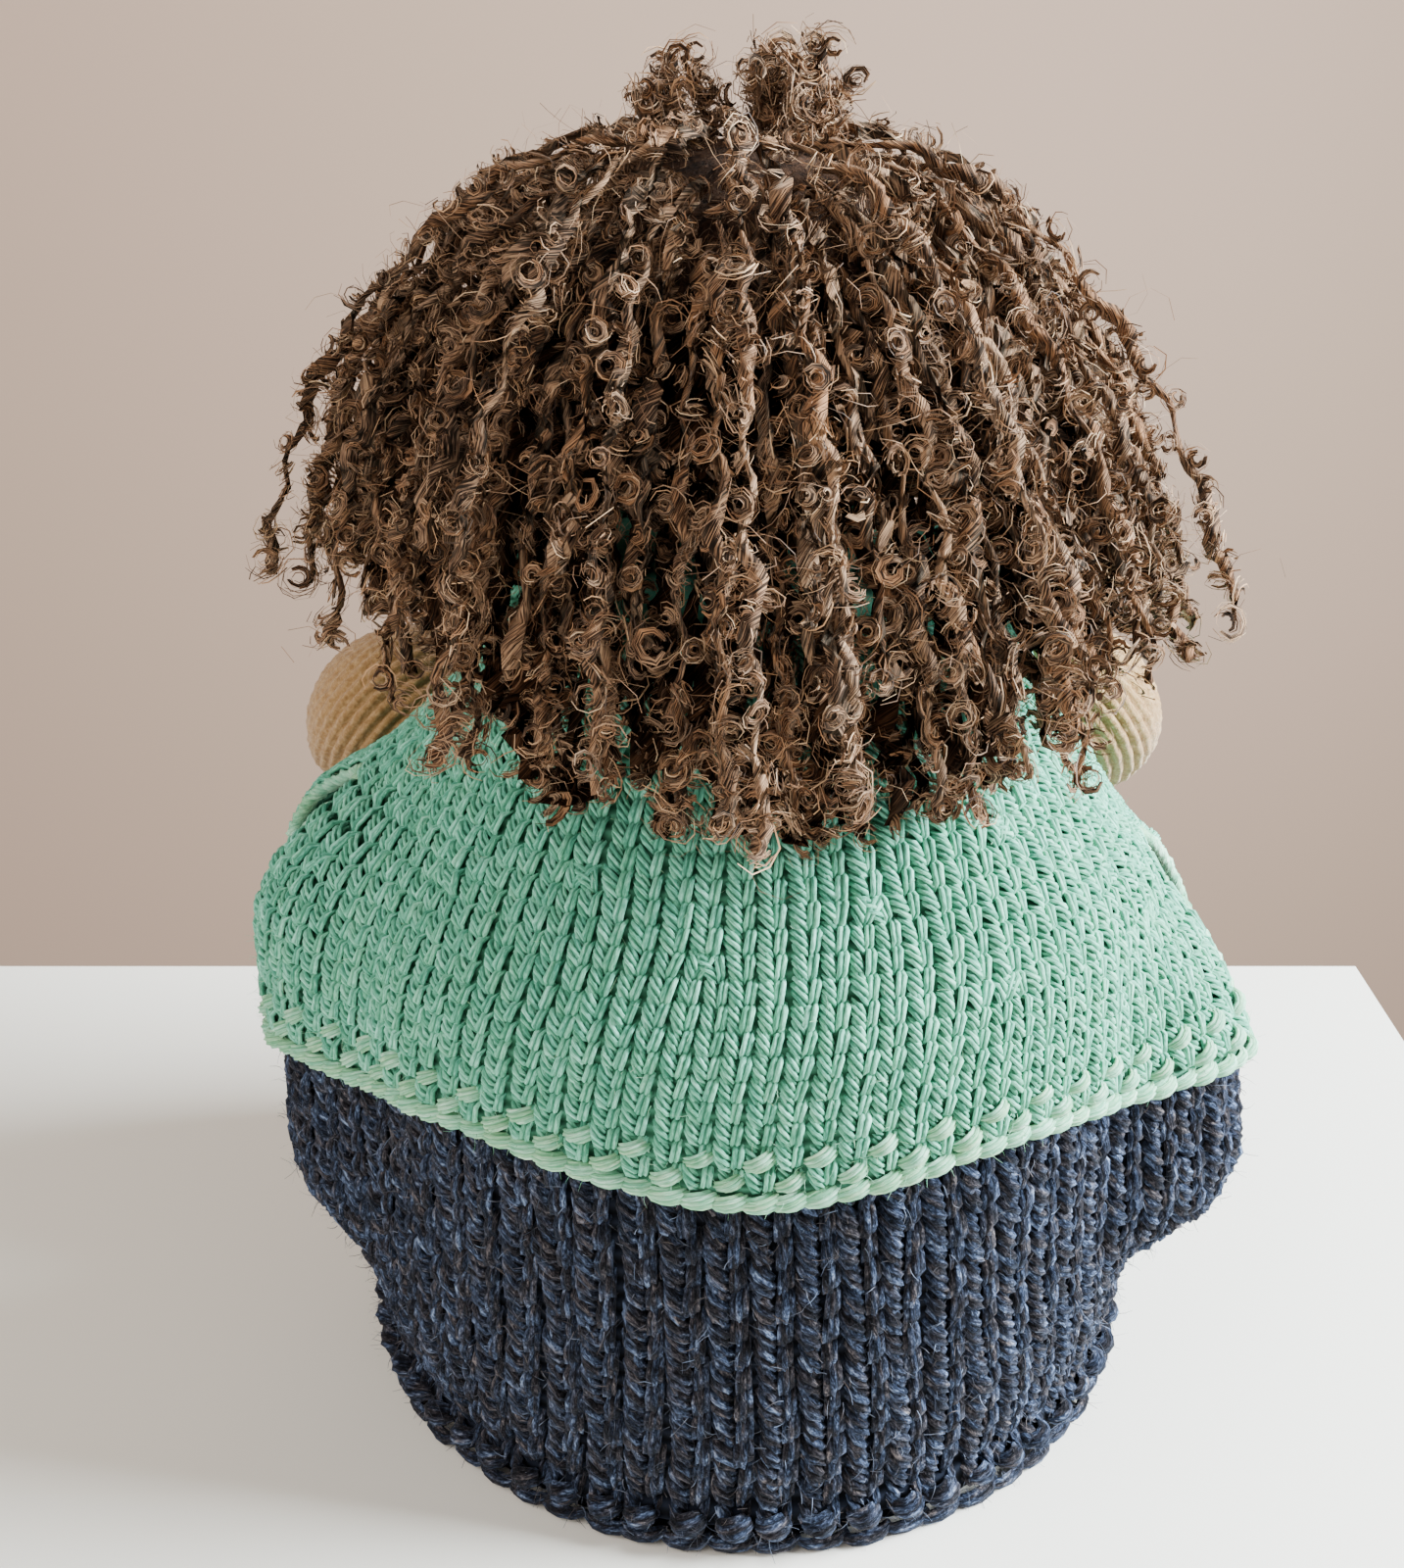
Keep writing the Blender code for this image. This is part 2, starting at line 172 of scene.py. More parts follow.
def panelWidth(height):
    # length of cloth across a panel
    return np.interp(height, np.arange(len(arcLengths)), arcLengths)


def unit(vector):
    return vector / np.maximum(np.linalg.norm(vector, axis=-1, keepdims=True), 1e-9)


def clothNormal(side, share, height):
    around = clothPoint(side, share + 0.006, height, 0.0) - clothPoint(side, share - 0.006, height, 0.0)
    up = clothPoint(side, share, height + 0.8, 0.0) - clothPoint(side, share, height - 0.8, 0.0)
    return unit(np.cross(around, up) * side)


def aimed(angle, one, two):
    # the direction at an angle from one axis towards another
    return np.cos(angle)[..., None] * one + np.sin(angle)[..., None] * two


def frameAlong(points, reference=(0.31, 0.17, 0.93)):
    along = unit(np.gradient(points, axis=0))
    side = unit(np.cross(along, np.array(reference)))
    return along, side, np.cross(along, side)


def addObject(name, data):
    item = bpy.data.objects.new(name, data)
    bpy.context.scene.collection.objects.link(item)
    return item


def makePiece(name, points, quads, strand, material, slot):
    # points in millimetres; strand holds a UV for each point: length along a fibre, place across it
    mesh = bpy.data.meshes.new(name)
    mesh.vertices.add(len(points))
    mesh.vertices.foreach_set("co", np.float32(points).ravel() * mm)
    mesh.loops.add(quads.size)
    mesh.loops.foreach_set("vertex_index", np.int32(quads).ravel())
    mesh.polygons.add(len(quads))
    mesh.polygons.foreach_set("loop_start", np.arange(0, quads.size, 4, dtype=np.int32))
    mesh.update(calc_edges=True)
    mesh.validate()
    mesh.uv_layers.new(name="strand").data.foreach_set("uv", np.float32(strand)[quads.ravel()].ravel())
    mesh.shade_smooth()
    mesh.materials.append(material)
    piece = addObject(name, mesh)
    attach(piece, "root")
    return piece


def gridMesh(points, strand, closed=False):
    # points, quads and strand UVs of separate grids, whose rows and columns are the last two axes
    rows, columns = strand.shape[-3:-1]
    i, j = np.meshgrid(np.arange(rows - 1), np.arange(columns if closed else columns - 1), indexing="ij")
    k = (j + 1) % columns
    quads = np.stack((i * columns + j, i * columns + k, (i + 1) * columns + k, (i + 1) * columns + j), -1)
    starts = np.arange(0, strand.size // 2, rows * columns)[:, None, None]
    return points.reshape(-1, 3), (quads.reshape(1, -1, 4) + starts).reshape(-1, 4), strand.reshape(-1, 2)


def linear(code):
    channels = [int(code[i:i + 2], 16) / 255.0 for i in (1, 3, 5)]
    return tuple(c / 12.92 if c <= 0.04045 else ((c + 0.055) / 1.055) ** 2.4 for c in channels) + (1.0,)


def setInputs(node, inputs):
    # links the nodes and sockets given, and sets the constants
    for key, value in inputs.items():
        if isinstance(value, bpy.types.Node):
            value = value.outputs[0]
        if isinstance(value, bpy.types.NodeSocket):
            node.id_data.links.new(value, node.inputs[key])
        else:
            node.inputs[key].default_value = value


def addNode(tree, kind, inputs=None, stops=(), **settings):
    node = tree.nodes.new("ShaderNode" + kind)
    for rank, (place, code) in enumerate(stops):
        if rank > 1:
            node.color_ramp.elements.new(place)
        stop = node.color_ramp.elements[rank]
        stop.position, stop.color = place, linear(code)
    for key, value in settings.items():
        setattr(node, key, value)
    setInputs(node, inputs or {})
    return node


def startMaterial(name, **constants):
    # a new material's nodes and shader, with the constants of its shader set
    material = bpy.data.materials.new(name)
    material.use_nodes = True
    shader = material.node_tree.nodes["Principled BSDF"]
    setInputs(shader, {key.replace("_", " "): value for key, value in constants.items()})
    return material, material.node_tree, shader


def yarnMaterial(look):
    # spun wool: matt, with fibres that run along each strand and a soft bloom of sheen
    material, tree, shader = startMaterial(
        look["name"], Roughness=look["roughness"], Specular_IOR_Level=look["specular"],
        Sheen_Weight=look["sheen"], Sheen_Roughness=0.5, Sheen_Tint=linear(look["sheenTint"]))
    strand = addNode(tree, "UVMap", uv_map="strand")
    alongFibres = addNode(tree, "VectorMath", {0: strand, 1: look["fibreScale"]}, operation="MULTIPLY")
    fibres = addNode(tree, "TexNoise", {"Vector": alongFibres, "Scale": 1.0, "Roughness": 0.65,
                                        "Detail": look.get("fibreDetail", 3.0)})
    wholeStitch = addNode(tree, "VectorMath", {0: strand, 1: look["toneScale"]}, operation="MULTIPLY")
    tones = addNode(tree, "TexNoise", {"Vector": wholeStitch, "Scale": 1.0, "Detail": 1.0})
    mixed = addNode(tree, "Mix", {0: look["toneShare"], 2: fibres, 3: tones})
    colours = addNode(tree, "ValToRGB", {"Fac": mixed}, look["colours"])
    # painted shade: the colour darkens from a ply's crest towards the valleys beside it, where shade falls
    across = addNode(tree, "SeparateXYZ", {0: strand})
    fromCrest = addNode(tree, "Math", {0: across.outputs[1], 1: 0.5}, operation="SUBTRACT")
    distance = addNode(tree, "Math", {0: fromCrest}, operation="ABSOLUTE")
    paintedShade = addNode(tree, "MapRange", {"Value": distance, "From Min": look["paintedShadeFrom"], "From Max": 0.5,
                                        "To Max": look["paintedShadeStrength"]})
    # a Mix node's colour sockets are its sixth and seventh, and its colour output the third
    colour = addNode(tree, "Mix", {0: paintedShade, 6: colours, 7: linear(look["paintedShadeColour"])}, data_type="RGBA")
    # yarn takes the dye unevenly, in patches a few stitches long
    patches = addNode(tree, "TexNoise", {"Vector": wholeStitch, "W": 7.3, "Scale": 0.7, "Detail": 1.0},
                      noise_dimensions="4D")
    dyed = addNode(tree, "MapRange", {"Value": patches, "From Min": 0.42, "From Max": 0.58})
    tinted = addNode(tree, "Mix", {0: dyed, 6: colour.outputs[2], 7: linear(look["patchTint"])},
                     data_type="RGBA", blend_type="MULTIPLY")
    depth = look["bumpDepth"] * mm
    bump = addNode(tree, "Bump", {"Height": fibres, "Strength": look["bump"], "Distance": depth})
    setInputs(shader, {"Base Color": tinted.outputs[2], "Normal": bump})
    return material


# how columns run where the knitter decreases: width of each half of a split column, how fast widths even out
# upwards, and the passes that draw the columns upright and evenly apart
columnLook = {"halfWidth": 0.56, "evening": 0.25, "passes": 80, "upright": 0.5, "even": 0.3}


def middleOf(bounds):
    return (bounds[1:] + bounds[:-1]) / 2.0


def columnPlan(rowCount, topCount, splitsByRow):
    # bounds of each row's columns as shares of the panel, and each column's follower in the next row
    # worked from the top row down, where a column splits in two wherever the knitter decreased
    look, weights = columnLook, np.ones(topCount)
    rows, followers = [None] * rowCount, [None] * rowCount
    for row in range(rowCount - 1, -1, -1):
        follower = np.arange(len(weights))
        if row in splitsByRow:
            halves = np.ones(len(weights), int)
            halves[np.searchsorted(np.cumsum(weights) / weights.sum(), splitsByRow[row])] = 2
            follower = np.repeat(follower, halves)
            weights = np.repeat(np.where(halves == 2, look["halfWidth"] * weights, weights), halves)
        weights = weights + (1.0 - weights) * look["evening"]
        rows[row] = np.concatenate(([0.0], np.cumsum(weights) / weights.sum()))
        followers[row] = follower
    centres = [middleOf(bounds) for bounds in rows]
    for _ in range(look["passes"]):
        moved = []
        for row, here in enumerate(centres):
            over = centres[row + 1][followers[row]] if row + 1 < rowCount else here
            under = here
            if row > 0:
                feeds = followers[row - 1]
                under = np.bincount(feeds, centres[row - 1]) / np.bincount(feeds)
            ends = np.concatenate(([-here[0]], here, [2.0 - here[-1]]))
            upright, even = (over + under) / 2.0 - here, (ends[2:] + ends[:-2]) / 2.0 - here
            moved.append(here + look["upright"] * upright + look["even"] * even)
        centres = moved
    return [np.concatenate(([0.0], middleOf(c), [1.0])) for c in centres], followers


def stitchLines(rows, followers, wobble):
    # a line a stitch: row, column, then its column's centre and width in the row below, here and above
    middles = [(middleOf(bounds), np.diff(bounds)) for bounds in rows]
    stitches, below = [], middles[0]
    for row, here in enumerate(middles):
        columns = np.arange(len(here[0]))
        over = followers[row] if row + 1 < len(rows) else columns
        above = middles[min(row + 1, len(rows) - 1)]
        stitches.append(np.stack((np.full(len(columns), row), columns, below[0], here[0], above[0][over],
                                  below[1], here[1], above[1][over]), 1))
        below = np.zeros((2, len(above[0])))
        below[:, over] = here
    stitches = np.concatenate(stitches)
    for offset, column in ((-1, 2), (0, 3), (1, 4)):
        place, row = stitches[:, column] * 2.0 * np.pi, stitches[:, 0] + offset
        drift = np.sin(place * 17.3 + row * 0.42) + np.sin(place * 8.9 - row * 0.31 + 1.3)
        stitches[:, column] += wobble * drift * stitches[:, 6]
    return stitches


def legPoints(side, stitches, leg, heightOf):
    # centre line and frame of one leg of every stitch: nine stations up the leg
    stations = np.linspace(0.0, 1.0, 9)
    x0, y0, x1, y1 = leg["path"]
    jitter = dice.uniform(-1.0, 1.0, (len(stitches), 3))
    x = x0 + (x1 - x0) * stations + jitter[:, :1] * leg["jitter"]
    y = np.broadcast_to(y0 + (y1 - y0) * stations, x.shape)
    low, here, high, lowWidth, width, highWidth = [stitches[:, k, None] for k in range(2, 8)]
    centre = here + np.where(y < 0.0, (here - low) * y, (high - here) * y)
    wide = np.maximum(width + np.where(y < 0.0, (width - lowWidth) * y, (highWidth - width) * y), 0.001)
    share = np.clip(centre + side * x * wide, 0.0, 1.0)
    height = heightOf(stitches[:, :1] + y, share)
    arch = np.maximum(np.abs(2.0 * (stations - leg["crest"])) - leg["flat"], 0.0) / (1.0 - leg["flat"])
    outset = leg["outset"] - leg["dive"] * arch ** leg["divePower"] + jitter[:, 1:2] * leg["jitterOut"]
    normal = clothNormal(side, share, height)
    point = clothPoint(side, share, height, 0.0) + normal * outset[..., None]
    along = unit(np.gradient(point, axis=1))
    normal = unit(normal - (normal * along).sum(-1, keepdims=True) * along)
    across = np.cross(along, normal)
    fit = np.clip(wide * panelWidth(height) / leg["pitch"], *leg["fit"])
    size = leg["radius"] * fit * (1.0 + jitter[:, 2:] * leg["jitterSize"])
    taper = leg["taper"] * np.abs(2.0 * stations - 1.0) ** leg["taperPower"]
    return point, normal, across, size * (1.0 - taper)


def atStations(values, s):
    # values at stations 0..1 along axis 1, read at s of shape (count, places)
    place = np.clip(s, 0.0, 1.0) * (values.shape[1] - 1)
    low = np.minimum(place.astype(int), values.shape[1] - 2)
    part = place - low
    rows = np.arange(values.shape[0])[:, None]
    if values.ndim == 3:
        part = part[..., None]
    return values[rows, low] * (1.0 - part) + values[rows, low + 1] * part


def legRidges(side, stitches, leg, heightOf):
    # plies as raised ridges on one leg: either wound round it or running along it
    point, normal, across, radius = legPoints(side, stitches, leg, heightOf)
    count, plies, spacing = len(stitches), leg["ridges"], leg["spacing"]
    length = np.linalg.norm(np.diff(point, axis=1), axis=-1).sum(1)[:, None, None, None]
    lines = np.array(leg["lines"])  # across a ply, from valley to valley
    shift = dice.uniform(0.0, 1.0, (count, 1, 1, 1)) - 0.5
    start = (np.arange(plies)[:, None, None] - 0.5 * (plies - 1) + 0.5 * lines) * spacing
    if leg["wound"]:
        turn = np.linspace(-leg["halfTurn"], leg["halfTurn"], leg["steps"])[:, None]
        s = 0.5 + (start - leg["lead"] * turn / (2.0 * np.pi) + shift * spacing) / length
        phi = np.broadcast_to(turn, s.shape)
        alongPly = turn * leg["radius"] + 0.0 * s
    else:
        up = np.linspace(0.0, 1.0, leg["steps"])[:, None]
        phi = (start + 0.4 * shift * spacing) / leg["radius"] + leg["twist"] * (0.5 - up)
        s = np.broadcast_to(up, phi.shape)
        alongPly = s * length
    shape = phi.shape
    s, phi = s.reshape(count, -1), phi.reshape(count, -1)
    lift = np.broadcast_to(np.where(np.abs(lines) < 1.0, 1.0, leg["valley"]), shape).reshape(count, -1)
    reach = atStations(radius, s) * lift * (1.0 - leg["tuck"] * (np.abs(phi) > leg["tuckFrom"]))
    where = atStations(point, s) + reach[..., None] * aimed(phi, atStations(normal, s), atStations(across, s))
    seed = dice.uniform(0.0, 900.0, (count, 1, 1, 1)) + np.arange(plies)[:, None, None] * 7.3
    return gridMesh(where, np.stack((alongPly + seed, np.broadcast_to(0.5 * lines + 0.5, shape)), -1))


def slitEdge(end, slit, look, heightOf):
    # along a slit's edge: from the rim of one panel to the slit's closed end, and back on the other
    # the navy cover's slit is closed at its bottom (0), and the mint top's at its top (1)
    closed, share = slit[look["closedEnd"]], np.full(160, end)
    heights = closed + (look["rim"] - closed) * np.linspace(0.0, 1.0, len(share)) ** 2
    halves = [clothPoint(side, end, heightOf(heights, share), look["outset"]) for side in (1, -1)]
    return np.concatenate((halves[0][::-1], halves[1][1:]))


def windCord(line, look):
    # a rope of plies wound along a line of points, with a crest and a valley for each ply
    run = runAlong(line)
    places = np.arange(0.0, run[-1], look["step"])
    points = readLine(places, run, line)
    side, other = frameAlong(points, (1.0, 0.0, 0.0))[1:]
    corners = np.arange(2 * look["plies"])
    angle = (places[:, None] / look["lead"] + corners / len(corners)) * 2.0 * np.pi
    lump = 1.0 + 0.14 * np.sin(places * 1.7 + 0.6 * np.sin(places * 0.31))  # uneven along the rope
    reach = look["radius"] * lump[:, None] * np.where(corners % 2 == 0, 1.0, look["valley"])
    tube = points[:, None] + reach[..., None] * aimed(angle, side[:, None], other[:, None])
    strand = np.stack(np.broadcast_arrays(places[:, None], np.where(corners % 2 == 0, 0.5, 0.05)), -1)
    return gridMesh(tube, strand, True)


def join(parts):
    # one mesh's points, quads and strand UVs from those of many
    points, quads, strands = zip(*parts)
    starts = np.cumsum([0] + [len(where) for where in points[:-1]])
    quads = [faces + start for faces, start in zip(quads, starts)]
    return np.concatenate(points), np.concatenate(quads), np.concatenate(strands)


def ribbonMesh(line, reach, along, across, width):
    # flat ribbons: at each place of each line a point to either side, and the UVs of both
    points = np.stack((line - reach, line + reach), 2)
    points[..., 2] = np.maximum(points[..., 2], 0.1)  # none passes through what the cosy stands on
    across = np.broadcast_to(across, along.shape)
    strand = np.stack((np.repeat(along[..., None], 2, 2), np.stack((across, across + width), -1)), -1)
    return gridMesh(points, strand)


def rowHeights(first, pitch, top):
    # nominal heights of the rows, equal lengths of cloth apart up the back
    heights = np.linspace(first, top, 400)
    run = runAlong(np.stack((coverRadius(np.full_like(heights, 90.0), heights), heights), 1))
    return np.interp(np.arange(0.0, run[-1], pitch), run, heights)


def rowFuzz(side, look, heightOf):
    # short fibres that stand off the knitting, each a bent ribbon of three pieces
    count = look["count"]
    share = dice.uniform(0.0, 1.0, count)
    nominal = np.interp(dice.uniform(0.0, 1.0, count), *look["spread"])
    height = heightOf(nominal, share)
    base = clothPoint(side, share, height, dice.uniform(*look["outset"], count))
    normal = clothNormal(side, share, height)
    aim = unit(dice.normal(0.0, 1.0, (count, 3)) + normal * dice.uniform(0.0, look["rise"], (count, 1)))
    curl = unit(np.cross(aim, dice.normal(0.0, 1.0, (count, 3))))
    length = dice.uniform(*look["length"], (count, 1, 1))
    t = np.linspace(0.0, 1.0, 4)[:, None]
    line = base[:, None] + length * (aim[:, None] * t + curl[:, None] * 0.55 * t * t)
    wide = unit(np.cross(aim, normal) + dice.normal(0.0, 0.3, (count, 3)))[:, None]
    along = dice.uniform(0.0, 900.0, (count, 1)) + (t * length)[..., 0]
    return ribbonMesh(line, wide * 0.5 * look["width"] * (1.0 - 0.6 * t), along, 0.4, 0.2)


def knitCover(cover, nominal, heightOf, legsOf):
    # both panels' stitches and border, loose fibres, and the wound edges of the slits
    def rowHeight(row, share):
        return heightOf(np.interp(row, np.arange(len(nominal)), nominal), share)

    rowCount = int((nominal <= cover["top"]).sum())
    hemCount, topCount = [int(round(panelWidth(height) / pitch)) for height, pitch in cover["counted"]]
    print("  stitches", hemCount, "to", topCount, "rows", rowCount)
    # the decreases are spread over the rows, and round the panel by the golden section
    splits, lost, first = {}, hemCount - topCount, cover["decreaseFrom"]
    for rank in range(lost):
        row = int(round(first + (rowCount - 3 - first) * rank / max(lost - 1, 1)))
        splits.setdefault(row, []).append((0.31 + 0.618034 * rank) % 1.0)
    bounds, followers = columnPlan(rowCount, topCount, splits)
    pieces = []
    for side, panel in ((-1, "back"), (1, "front")):
        stitches = stitchLines(bounds, followers, cover["wobble"])
        for part, material, groups in legsOf(stitches[:, 0], stitches[:, 1]):
            made = join([legRidges(side, stitches[chosen], leg, rowHeight) for chosen, leg in groups])
            pieces.append(makePiece(f"{cover['name']}_{panel}_{part}", *made, material, cover["slot"]))
    fuzz = join([rowFuzz(side, cover["fibres"], heightOf) for side in (-1, 1)])
    edges = join([windCord(slitEdge(end, outline[slit], cover["selvedge"], heightOf), cover["selvedge"])
                  for end, slit in ((0.0, "spoutSlit"), (1.0, "handleSlit"))])
    for part, made in (("fuzz", fuzz), ("slit_edges", edges)):
        pieces.append(makePiece(f"{cover['name']}_{part}", *made, cover[part], cover["slot"]))
    return pieces


def sheetShell(name, shares, heights, outsets, material, slot, closedTop):
    # two panels as one thin closed cloth: outer face, inner face and rims
    stitches, rowPitch = 46.0, 3.5  # the strand UV counts stitches across and rows up
    parts, size = [], shares.size
    index = np.arange(size).reshape(shares.shape)
    for side in (-1, 1):
        for face, outset in enumerate(outsets):
            points = clothPoint(side, shares, heights, outset)
            points, quads, strand = gridMesh(points, np.stack((shares * stitches, heights / rowPitch), -1))
            parts.append((points, quads[:, ::-1 if (side > 0) == (face == 1) else 1], strand))
    points, quads, strand = join(parts)
    for outside in (0, 2 * size):
        for line in [index[0], index[:, 0], index[:, -1]] + ([] if closedTop else [index[-1]]):
            a, b = line[:-1] + outside, line[1:] + outside
            quads = np.concatenate((quads, np.stack((a, b, b + size, a + size), -1)))
    piece = makePiece(name, points, quads, strand, material, slot)
    bm = bmesh.new()
    bm.from_mesh(piece.data)
    bmesh.ops.remove_doubles(bm, verts=bm.verts, dist=0.02 * mm)
    # where the panels are seamed, the two rims lie on each other and go
    keys = {}
    for face in bm.faces:
        keys.setdefault(frozenset(v.index for v in face.verts), []).append(face)
    twins = [face for faces in keys.values() if len(faces) > 1 for face in faces]
    bmesh.ops.delete(bm, geom=twins, context="FACES_ONLY")
    if closedTop:
        holes = [e for e in bm.edges if e.is_boundary]
        bmesh.ops.poke(bm, faces=bmesh.ops.holes_fill(bm, edges=holes, sides=0)["faces"])
    bmesh.ops.recalc_face_normals(bm, faces=bm.faces)
    bm.to_mesh(piece.data)
    bm.free()
    piece.data.shade_smooth()
    return piece


def backingMaterial(name, purlScale, *colours):
    # the purl side, in the same wool: its colour is made deeper as painted shade, for the shade that falls
    # between the stitches
    material, tree, shader = startMaterial(name, Roughness=0.95, Specular_IOR_Level=0.08)
    place = addNode(tree, "UVMap", uv_map="strand")
    rows = addNode(tree, "VectorMath", {0: place, 1: purlScale}, operation="MULTIPLY")
    purls = addNode(tree, "TexWave", {"Vector": rows, "Scale": 0.5, "Distortion": 1.2, "Detail": 2.0,
                                      "Detail Scale": 1.5}, wave_type="BANDS", bands_direction="Y")
    height = purls.outputs["Fac"]
    colour = addNode(tree, "ValToRGB", {"Fac": height}, colours)
    bump = addNode(tree, "Bump", {"Height": height, "Strength": 0.8, "Distance": 0.8 * mm})
    setInputs(shader, {"Base Color": colour, "Normal": bump})
    return material


# path: across and up from a stitch's middle to both ends; dive: how far the ends sink; pitch and fit: the
# stitch that a leg is drawn for, and how far it may shrink or swell; halfTurn, lead and twist: how its plies
# run; valley: how deep the grooves between them are; tuck: drawn in where a ply turns under; jitter,
# jitterOut and jitterSize: an uneven hand
anyLeg = {"crest": 0.5, "divePower": 1.7, "taperPower": 3.0, "fit": (0.72, 1.2), "wound": False,
          "lines": (-1.0, 0.0, 1.0), "tuck": 0.25, "tuckFrom": 1.9, "ridges": 4, "steps": 5}
woundLeg = {"wound": True, "crest": 0.46, "halfTurn": 1.55}

print("mint top")
mintMaterial = yarnMaterial({
    # acrylic double-knitting yarn, four plies: smooth, so each ply shows as a bright rounded ridge
    "name": "pliedMintYarn", "roughness": 0.7, "specular": 0.22, "sheen": 0.06, "sheenTint": "#c9ecdc",
    "fibreScale": (0.9, 5.0, 1.0), "toneScale": (0.08, 0.3, 1.0), "toneShare": 0.4, "patchTint": "#f3f5ec",
    "colours": ((0.37, "#35806a"), (0.45, "#54a086"), (0.53, "#74c0a5"), (0.62, "#9ae0ca")),
    # painted shade in the valleys between plies: where it starts, how strong it is, and its colour
    "paintedShadeFrom": 0.24, "paintedShadeStrength": 0.8, "paintedShadeColour": "#2f6f58", "bump": 0.6, "bumpDepth": 0.16,
})
mintEdgeMaterial = yarnMaterial({
    # the same yarn where the loose cast-on strand catches the light: paler, plies pressed flatter
    "name": "paleCastOnYarn", "roughness": 0.85, "specular": 0.15, "sheen": 0.15, "sheenTint": "#e0f5dc",
    "fibreScale": (0.6, 4.0, 1.0), "toneScale": (0.08, 0.3, 1.0), "toneShare": 0.35, "patchTint": "#f4f3e2",
    "colours": ((0.38, "#5fa585"), (0.46, "#84c2a2"), (0.53, "#9dd2b3"), (0.61, "#c3ead4")),
    # painted shade in the valleys between plies: where it starts, how strong it is, and its colour
    "paintedShadeFrom": 0.25, "paintedShadeStrength": 0.6, "paintedShadeColour": "#3f8266", "bump": 0.8, "bumpDepth": 0.25,
})
mintLeg = dict(anyLeg, pitch=4.3, steps=4, jitter=0.04, twist=1.0)
mintLegs = (
    dict({**mintLeg, **woundLeg}, path=(-0.1, -0.3, -0.33, 1.14), flat=0.3, outset=1.8, dive=1.5, radius=1.28,
         taper=0.3, jitterOut=0.16, jitterSize=0.12, lines=(-1.0, -0.45, 0.45, 1.0), spacing=1.36, lead=7.6,
         valley=0.66),
    dict(mintLeg, path=(0.04, -0.42, 0.44, 1.2), flat=0.15, outset=2.0, dive=1.9, radius=1.22, taper=0.72,
         taperPower=2.2, jitterOut=0.22, jitterSize=0.14, ridges=2, lines=(-1.0, -0.4, 0.4, 1.0),
         spacing=1.5, twist=1.6, valley=0.6))
mintBump = dict(mintLeg, path=(-0.48, 0.02, 0.48, 0.46), flat=0.3, outset=2.2, dive=1.5, radius=1.45,
                taper=0.42, jitter=0.07, jitterOut=0.2, jitterSize=0.14, ridges=4, steps=7, spacing=1.0,
                valley=0.7)
mintBead = dict(mintLeg, path=(-0.62, 0.1, 0.62, 0.34), flat=0.1, outset=1.8, dive=1.2, radius=1.55,
                taper=0.3, jitter=0.08, jitterOut=0.25, jitterSize=0.16, ridges=5, steps=6, spacing=0.9,
                valley=0.8)
mint = {
    "name": "mint", "slot": "mint_wool", "wobble": 0.028, "decreaseFrom": 8, "top": 138.6,
    "counted": ((84.0, 4.12), (134.0, 4.1)),  # where the widest and the narrowest rows lie, and their stitch
    "rowPitch": 3.5, "mossPitch": 3.9, "edgeHeight": 3.3, "hemFade": 27.0,
    # the free hem waves up and down: shares of the panel, and its height there
    "hemShares": (0.0, 0.1, 0.3, 0.5, 0.7, 0.9, 1.0), "hem": (63.0, 65.0, 71.0, 66.5, 70.5, 65.5, 63.0),
    "selvedge": {"radius": 1.35, "plies": 4, "lead": 9.0, "valley": 0.78, "step": 0.9, "outset": 1.5,
                 "closedEnd": 1, "rim": 63.2},
    "fibres": {"count": 1300, "length": (0.9, 2.4), "rise": 1.2, "width": 0.09, "outset": (2.2, 3.2),
               "spread": ((0.0, 0.45, 0.45, 1.0), (63.0, 72.0, 63.0, 138.0))},  # shares, and their heights
    "fuzz": mintEdgeMaterial, "slit_edges": mintEdgeMaterial,
}


def mintHeight(nominal, share):
    # the hem's wave fades out upwards
    places, heights = np.array(mint["hemShares"]), np.array(mint["hem"])
    share = np.clip(share, 0.0, 1.0)
    after = np.clip(np.searchsorted(places, share), 1, len(places) - 1)
    t = (share - places[after - 1]) / (places[after] - places[after - 1])
    hem = heights[after - 1] + (heights[after] - heights[after - 1]) * (0.5 - 0.5 * np.cos(np.pi * t))
    fade = np.clip(1.0 - (nominal - heights[0]) / mint["hemFade"], 0.0, 1.0)
    return nominal + (hem - heights[0]) * fade


def mintLegsOf(row, column):
    # moss stitch at the border: in front of every other stitch lies a bump, and the stitch sinks behind it
    bump = ((row == 1) & (column % 2 == 1)) | ((row == 2) & (column % 2 == 0))
    plain = [((row >= 1) & ~bump, leg) for leg in mintLegs]
    sunk = [(bump, dict(leg, outset=leg["outset"] - 0.7)) for leg in mintLegs]
    return (("stitches", mintMaterial, plain + sunk),
            ("border", mintEdgeMaterial, [(bump, mintBump), (row == 0, mintBead)]))


nominals = np.concatenate((np.linspace(63.3, 66.0, 3), np.linspace(68.0, 136.0, 28),
                           (137.5, 138.6, 139.2, 139.7, 139.95)))
shares, nominals = np.meshgrid(np.linspace(0.0, 1.0, 45), nominals)
# painted shade: the purl side's colours are dark, for the shade between the stitches
backing = backingMaterial("mintPurlSideAndShade", (1.0, 1.0, 1.0), (0.0, "#28543f"), (1.0, "#4f8a70"))
heights = mintHeight(nominals, shares)
mintCloth = sheetShell("mint_cloth", shares, heights, (1.7, 0.7), backing, "mint_wool", True)
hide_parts("mint_top")
moss = mint["hem"][0] + mint["edgeHeight"] + mint["mossPitch"] * np.arange(3)
plainRows = rowHeights(moss[2], mint["rowPitch"], mint["top"] + 3.0)
mintRows = np.concatenate((mint["hem"][:1], moss[:2], plainRows))
mintKnit = knitCover(mint, mintRows, mintHeight, mintLegsOf)

